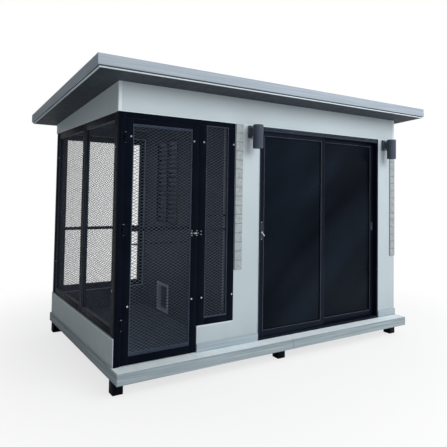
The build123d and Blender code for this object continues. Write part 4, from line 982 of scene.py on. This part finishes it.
# ---- sliding door
def make_slider():
    """Profile lines, drain caps, gaskets, beads, interlock and seal of the sliding door."""
    low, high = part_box("slider_frame")
    bm = bmesh.new()
    for below, tall in ((39, 2.5), (30, 3.5), (17, 2.5), (8, 3.5)):
        add_block(bm, shifted((low.x, low.y, high.z), 22, -1.6, -below),
                  shifted((high.x, low.y, high.z), -22, 1, tall - below), 0.5)
    for x in (low.x + 5 * MM, high.x - 9 * MM):
        add_block(bm, shifted((x, low.y, low.z), 0, -1.4, 14), shifted((x, low.y, high.z), 4, 1, -47), 0.5)
    put_bm("head_profile", bm, BEAD, "root", smooth=True)

    bm = bmesh.new()
    for share in (0.02, 0.05, 0.08, 0.35, 0.65, 0.95):
        foot = (low.x + share * (high.x - low.x), low.y, low.z)
        add_plate(bm, shifted(foot, 0, -0.6, 3.5), shifted(foot, 26, 0.5, 8.5), 1, 2.2, 0.2)
    put_bm("drain_caps", bm, RUBBER, "root")

    for side in ("left", "right"):
        sash, body = f"sash_{side}", f"{side}_sash"
        front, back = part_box(sash)
        low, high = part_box(f"glass_{side}")
        gaps = (facing(1, front.y), low.y - front.y), (facing(1, back.y, -1), back.y - high.y)
        x0, x1, z0, z1 = low.x + 8 * MM, high.x - 8 * MM, low.z + 8 * MM, high.z - 8 * MM
        bm = bmesh.new()
        for place, gap in gaps:
            section = [(0.0, 1.0), (0.5, 0.6), (1.0, 3.0), (0.8, gap / MM), (0.0, gap / MM)]
            add_rim(bm, place, (x0, z0), (x1, z1), (7, 7, 7, 7), section)
        put_bm(sash + "_gasket", bm, RUBBER, body)
        bm = bmesh.new()
        for (a, c), (b, d) in (
                ((x0, z0 - 3.5 * MM), (x1, z0)), ((x0, z1), (x1, z1 + 2.5 * MM)),
                ((x0 - 3.5 * MM, z0), (x0, z1)), ((x1, z0), (x1 + 3.5 * MM, z1))):
            add_block(bm, (a, front.y - 0.7 * MM, c), (b, front.y + 4 * MM, d), 0.5)
        put_bm(sash + "_bead", bm, BEAD, body, smooth=True)

    low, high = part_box("sash_left")
    bm = bmesh.new()
    add_block(bm, shifted((high.x, low.y, low.z), -14, -1.8, 2),
              shifted((high.x, low.y, high.z), -1, 1, -2), 0.8)
    put_bm("interlock", bm, ALUMINIUM, "left_sash", smooth=True)
    bm = bmesh.new()
    add_block(bm, shifted((high.x, high.y, low.z), -24, 0, 4), shifted(high, -18, 8, -4), 1.5)
    put_bm("brush_seal", bm, RUBBER, "left_sash")


def make_lock():
    """Rounded lock plate with its cylinder, and the bright thumb turn."""
    low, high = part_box("lock_plate")
    bm = bmesh.new()
    add_plate(bm, low, high, 1, 9, 1.4)
    x = (low.x + high.x) / 2
    add_lathe(bm, [(0, 0), (7.5, 0), (7.5, 2.2), (6.6, 3.0), (0, 3.0)], (x, low.y, low.z + 34 * MM), TO_FRONT)
    put_bm("lock_cover", bm, BEAD, "left_sash", ("lock_plate",), smooth=True)
    points = [Vector((x, low.y, z)) for z in (low.z + 10 * MM, high.z - 10 * MM)]
    screw_row("lock_screws", points, (3.0, 1.6), FRONT, "left_sash")

    low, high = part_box("thumb_turn")
    centre = shifted((low.x, high.y, high.z), 9, -3.5, -9)
    tip = shifted((high.x, high.y, low.z), -5, 0, 5)
    lean = math.atan2(tip.x - centre.x, centre.z - tip.z)
    turn = Matrix.Translation(centre) @ Matrix.Rotation(-lean, 4, "Y")
    long = math.hypot(tip.x - centre.x, centre.z - tip.z) / MM
    bm = bmesh.new()
    boss = [(0, -4), (7, -4), (7, 0), (9, 0.6), (9, 8), (7.6, 9.6), (4, 10.4), (0, 10.6)]
    add_lathe(bm, boss, centre, TO_FRONT)
    for one, two, edge_mm in (((-5, -10.2, -long - 3), (5, -5.6, 0), 1.8),
                              ((-6.5, -10.8, -long - 5), (6.5, -5.0, -long + 9), 2.2)):
        add_block(bm, Vector(one) * MM, Vector(two) * MM, edge_mm, 3, turn)
    put_bm("turn_lever", bm, STEEL, "lock_lever", ("thumb_turn",), smooth=True)


def make_pull():
    """Recessed finger pull of the right leaf."""
    low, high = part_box("sash_pull")
    deep = (high.y - low.y) / MM
    section = [(0.0, 0.8), (0.25, 0.0), (0.8, 0.0), (1.0, 0.8), (1.0, deep), (0.0, deep)]
    bm = bmesh.new()
    add_rim(bm, facing(1, low.y), (low.x, low.z), (high.x, high.z), (5, 5, 8, 8), section)
    add_block(bm, shifted((low.x, high.y, low.z), 4, -1, 7), shifted(high, -4, 0, -7))
    put_bm("finger_pull", bm, BEAD, "right_sash", ("sash_pull",), smooth=True)


def make_latch():
    """Screw heads of the wire door's bolt latch and of its keeper."""
    low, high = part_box("latch_base")
    y = high.y - 3 * MM
    points = [Vector((x, y, z)) for x in (low.x + 5 * MM, high.x - 5 * MM)
              for z in (low.z + 6 * MM, high.z - 6 * MM)]
    screw_row("latch_screws", points, (3.4, 1.8), FRONT, "mesh_door")
    low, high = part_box("latch_keeper")
    points = [Vector((high.x - 8 * MM, y, z)) for z in (low.z + 6 * MM, high.z - 6 * MM)]
    screw_row("keeper_screws", points, (3.2, 1.8), FRONT, "root")


# ---- partition: louvre window and pet door
def make_louvre():
    """Louvre window: eased frame and two columns of slim blades."""
    eased("louvre_surround", ["louvre_frame"], 1.5, ALUMINIUM, "root")
    columns = {}
    for low, high in solids("louvre_blades"):
        columns.setdefault(round(low.y, 4), []).append((low, high))
    for i, column in enumerate(columns.values()):
        low, high = column[0]
        values = {
            "Start": Vector(((low.x + high.x) / 2, low.y, (low.z + high.z) / 2)), "Length": high.y - low.y,
            "Chord": 49 * MM, "Thickness": 5 * MM, "Lean": math.atan2(high.z - low.z, high.x - low.x),
            "Pitch": column[1][0].z - low.z, "Count": len(column)}
        grow(f"louvre_column_{i}", BLADES, values, BLADE, "root", ("louvre_blades",),
             smooth=True)


def make_pet_door():
    """Raised surround and screws of the pet door."""
    low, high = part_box("pet_door_frame")
    bm = bmesh.new()
    section = [(0.0, 0.5), (0.08, -2.5), (0.3, -4.5), (0.85, -4.5), (1.0, 0.5)]
    add_rim(bm, facing(0, low.x), (low.y, low.z), (high.y, high.z), (18, 18, 18, 18), section)
    put_bm("pet_surround", bm, PET_PLASTIC, "root", smooth=True)
    points = [Vector((low.x - 4.4 * MM, y, low.z + share * (high.z - low.z)))
              for y in (low.y + 10 * MM, high.y - 10 * MM) for share in (0.05, 0.35, 0.65, 0.95)]
    screw_row("pet_screws", points, (3.6, 1.6), LEFT, "root")


# ---- camera, light and floor
EYE_MM = (-1338.9, -3586.0, 1402.3)      # from the house corner
FORWARD, TO_RIGHT = Vector((0.5320, 0.8457, 0.0419)), Vector((0.8460, -0.5330, 0.0167))
LAMP_MM, LIT_MM = (3300, -5400, 4500), (1700, 300, 900)      # where the soft lamp is and where it looks


def make_camera():
    """The view from the front left, at head height."""
    camera = bpy.data.cameras.new("camera")
    camera.sensor_width, camera.lens = 36.0, 37.84
    camera.shift_x, camera.shift_y = 0.021, -0.1152
    camera.clip_end = 200.0
    eye = bpy.data.objects.new("camera", camera)
    forward = FORWARD.normalized()
    right = (TO_RIGHT - forward * TO_RIGHT.dot(forward)).normalized()
    turn = Matrix((right, right.cross(forward), -forward)).transposed()
    eye.matrix_world = Matrix.Translation(at(*EYE_MM)) @ turn.to_4x4()
    scene.collection.objects.link(eye)
    scene.camera = eye


def make_light():
    """A pale surround, dimmer at the left and seen as plain white, and one large soft lamp at the right."""
    world = bpy.data.worlds.new("surround")
    world.use_nodes = True
    scene.world = world
    tree = world.node_tree
    tree.nodes.clear()
    place = add(tree, "ShaderNodeTexCoord").outputs["Generated"]
    across = add(tree, "ShaderNodeSeparateXYZ", {0: place}).outputs["X"]
    bright = add(tree, "ShaderNodeMapRange", {0: across, 1: -0.6, 2: 0.5, 3: 0.24, 4: 0.7})
    glow = add(tree, "ShaderNodeBackground", {0: srgb("#F6F9FC"), 1: bright})
    plain = add(tree, "ShaderNodeBackground", {0: srgb("#FFFFFF"), 1: 1.0})
    seen = add(tree, "ShaderNodeLightPath").outputs["Is Camera Ray"]
    both = add(tree, "ShaderNodeMixShader", {0: seen, 1: glow, 2: plain})
    add(tree, "ShaderNodeOutputWorld", {0: both})

    lamp = bpy.data.lights.new("front_soft_light", "AREA")
    lamp.shape, lamp.size, lamp.size_y, lamp.energy = "RECTANGLE", 6.0, 3.5, 375.0
    holder = bpy.data.objects.new("front_soft_light", lamp)
    holder.location = at(*LAMP_MM)
    holder.rotation_euler = (at(*LIT_MM) - at(*LAMP_MM)).to_track_quat("-Z", "Y").to_euler()
    holder.visible_glossy = False
    scene.collection.objects.link(holder)


def make_floor():
    """A floor just under the feet."""
    bm = bmesh.new()
    bmesh.ops.create_grid(bm, x_segments=1, y_segments=1, size=60.0)
    mesh = bpy.data.meshes.new("floor")
    bm.to_mesh(mesh)
    bm.free()
    mesh.materials.append(floor_paint())
    floor = bpy.data.objects.new("floor", mesh)
    floor.location.z = cad_box[0][2] - 0.5 * MM
    scene.collection.objects.link(floor)


scene.view_settings.view_transform = "Standard"
for make in (make_camera, make_light, make_floor, paint_cad_nodes, make_wire, make_frames, make_screws,
             make_boards, make_tiles, make_run_shade, make_trims, make_roof, make_lamps, make_slider, make_lock,
             make_pull, make_latch, make_louvre, make_pet_door):
    make()
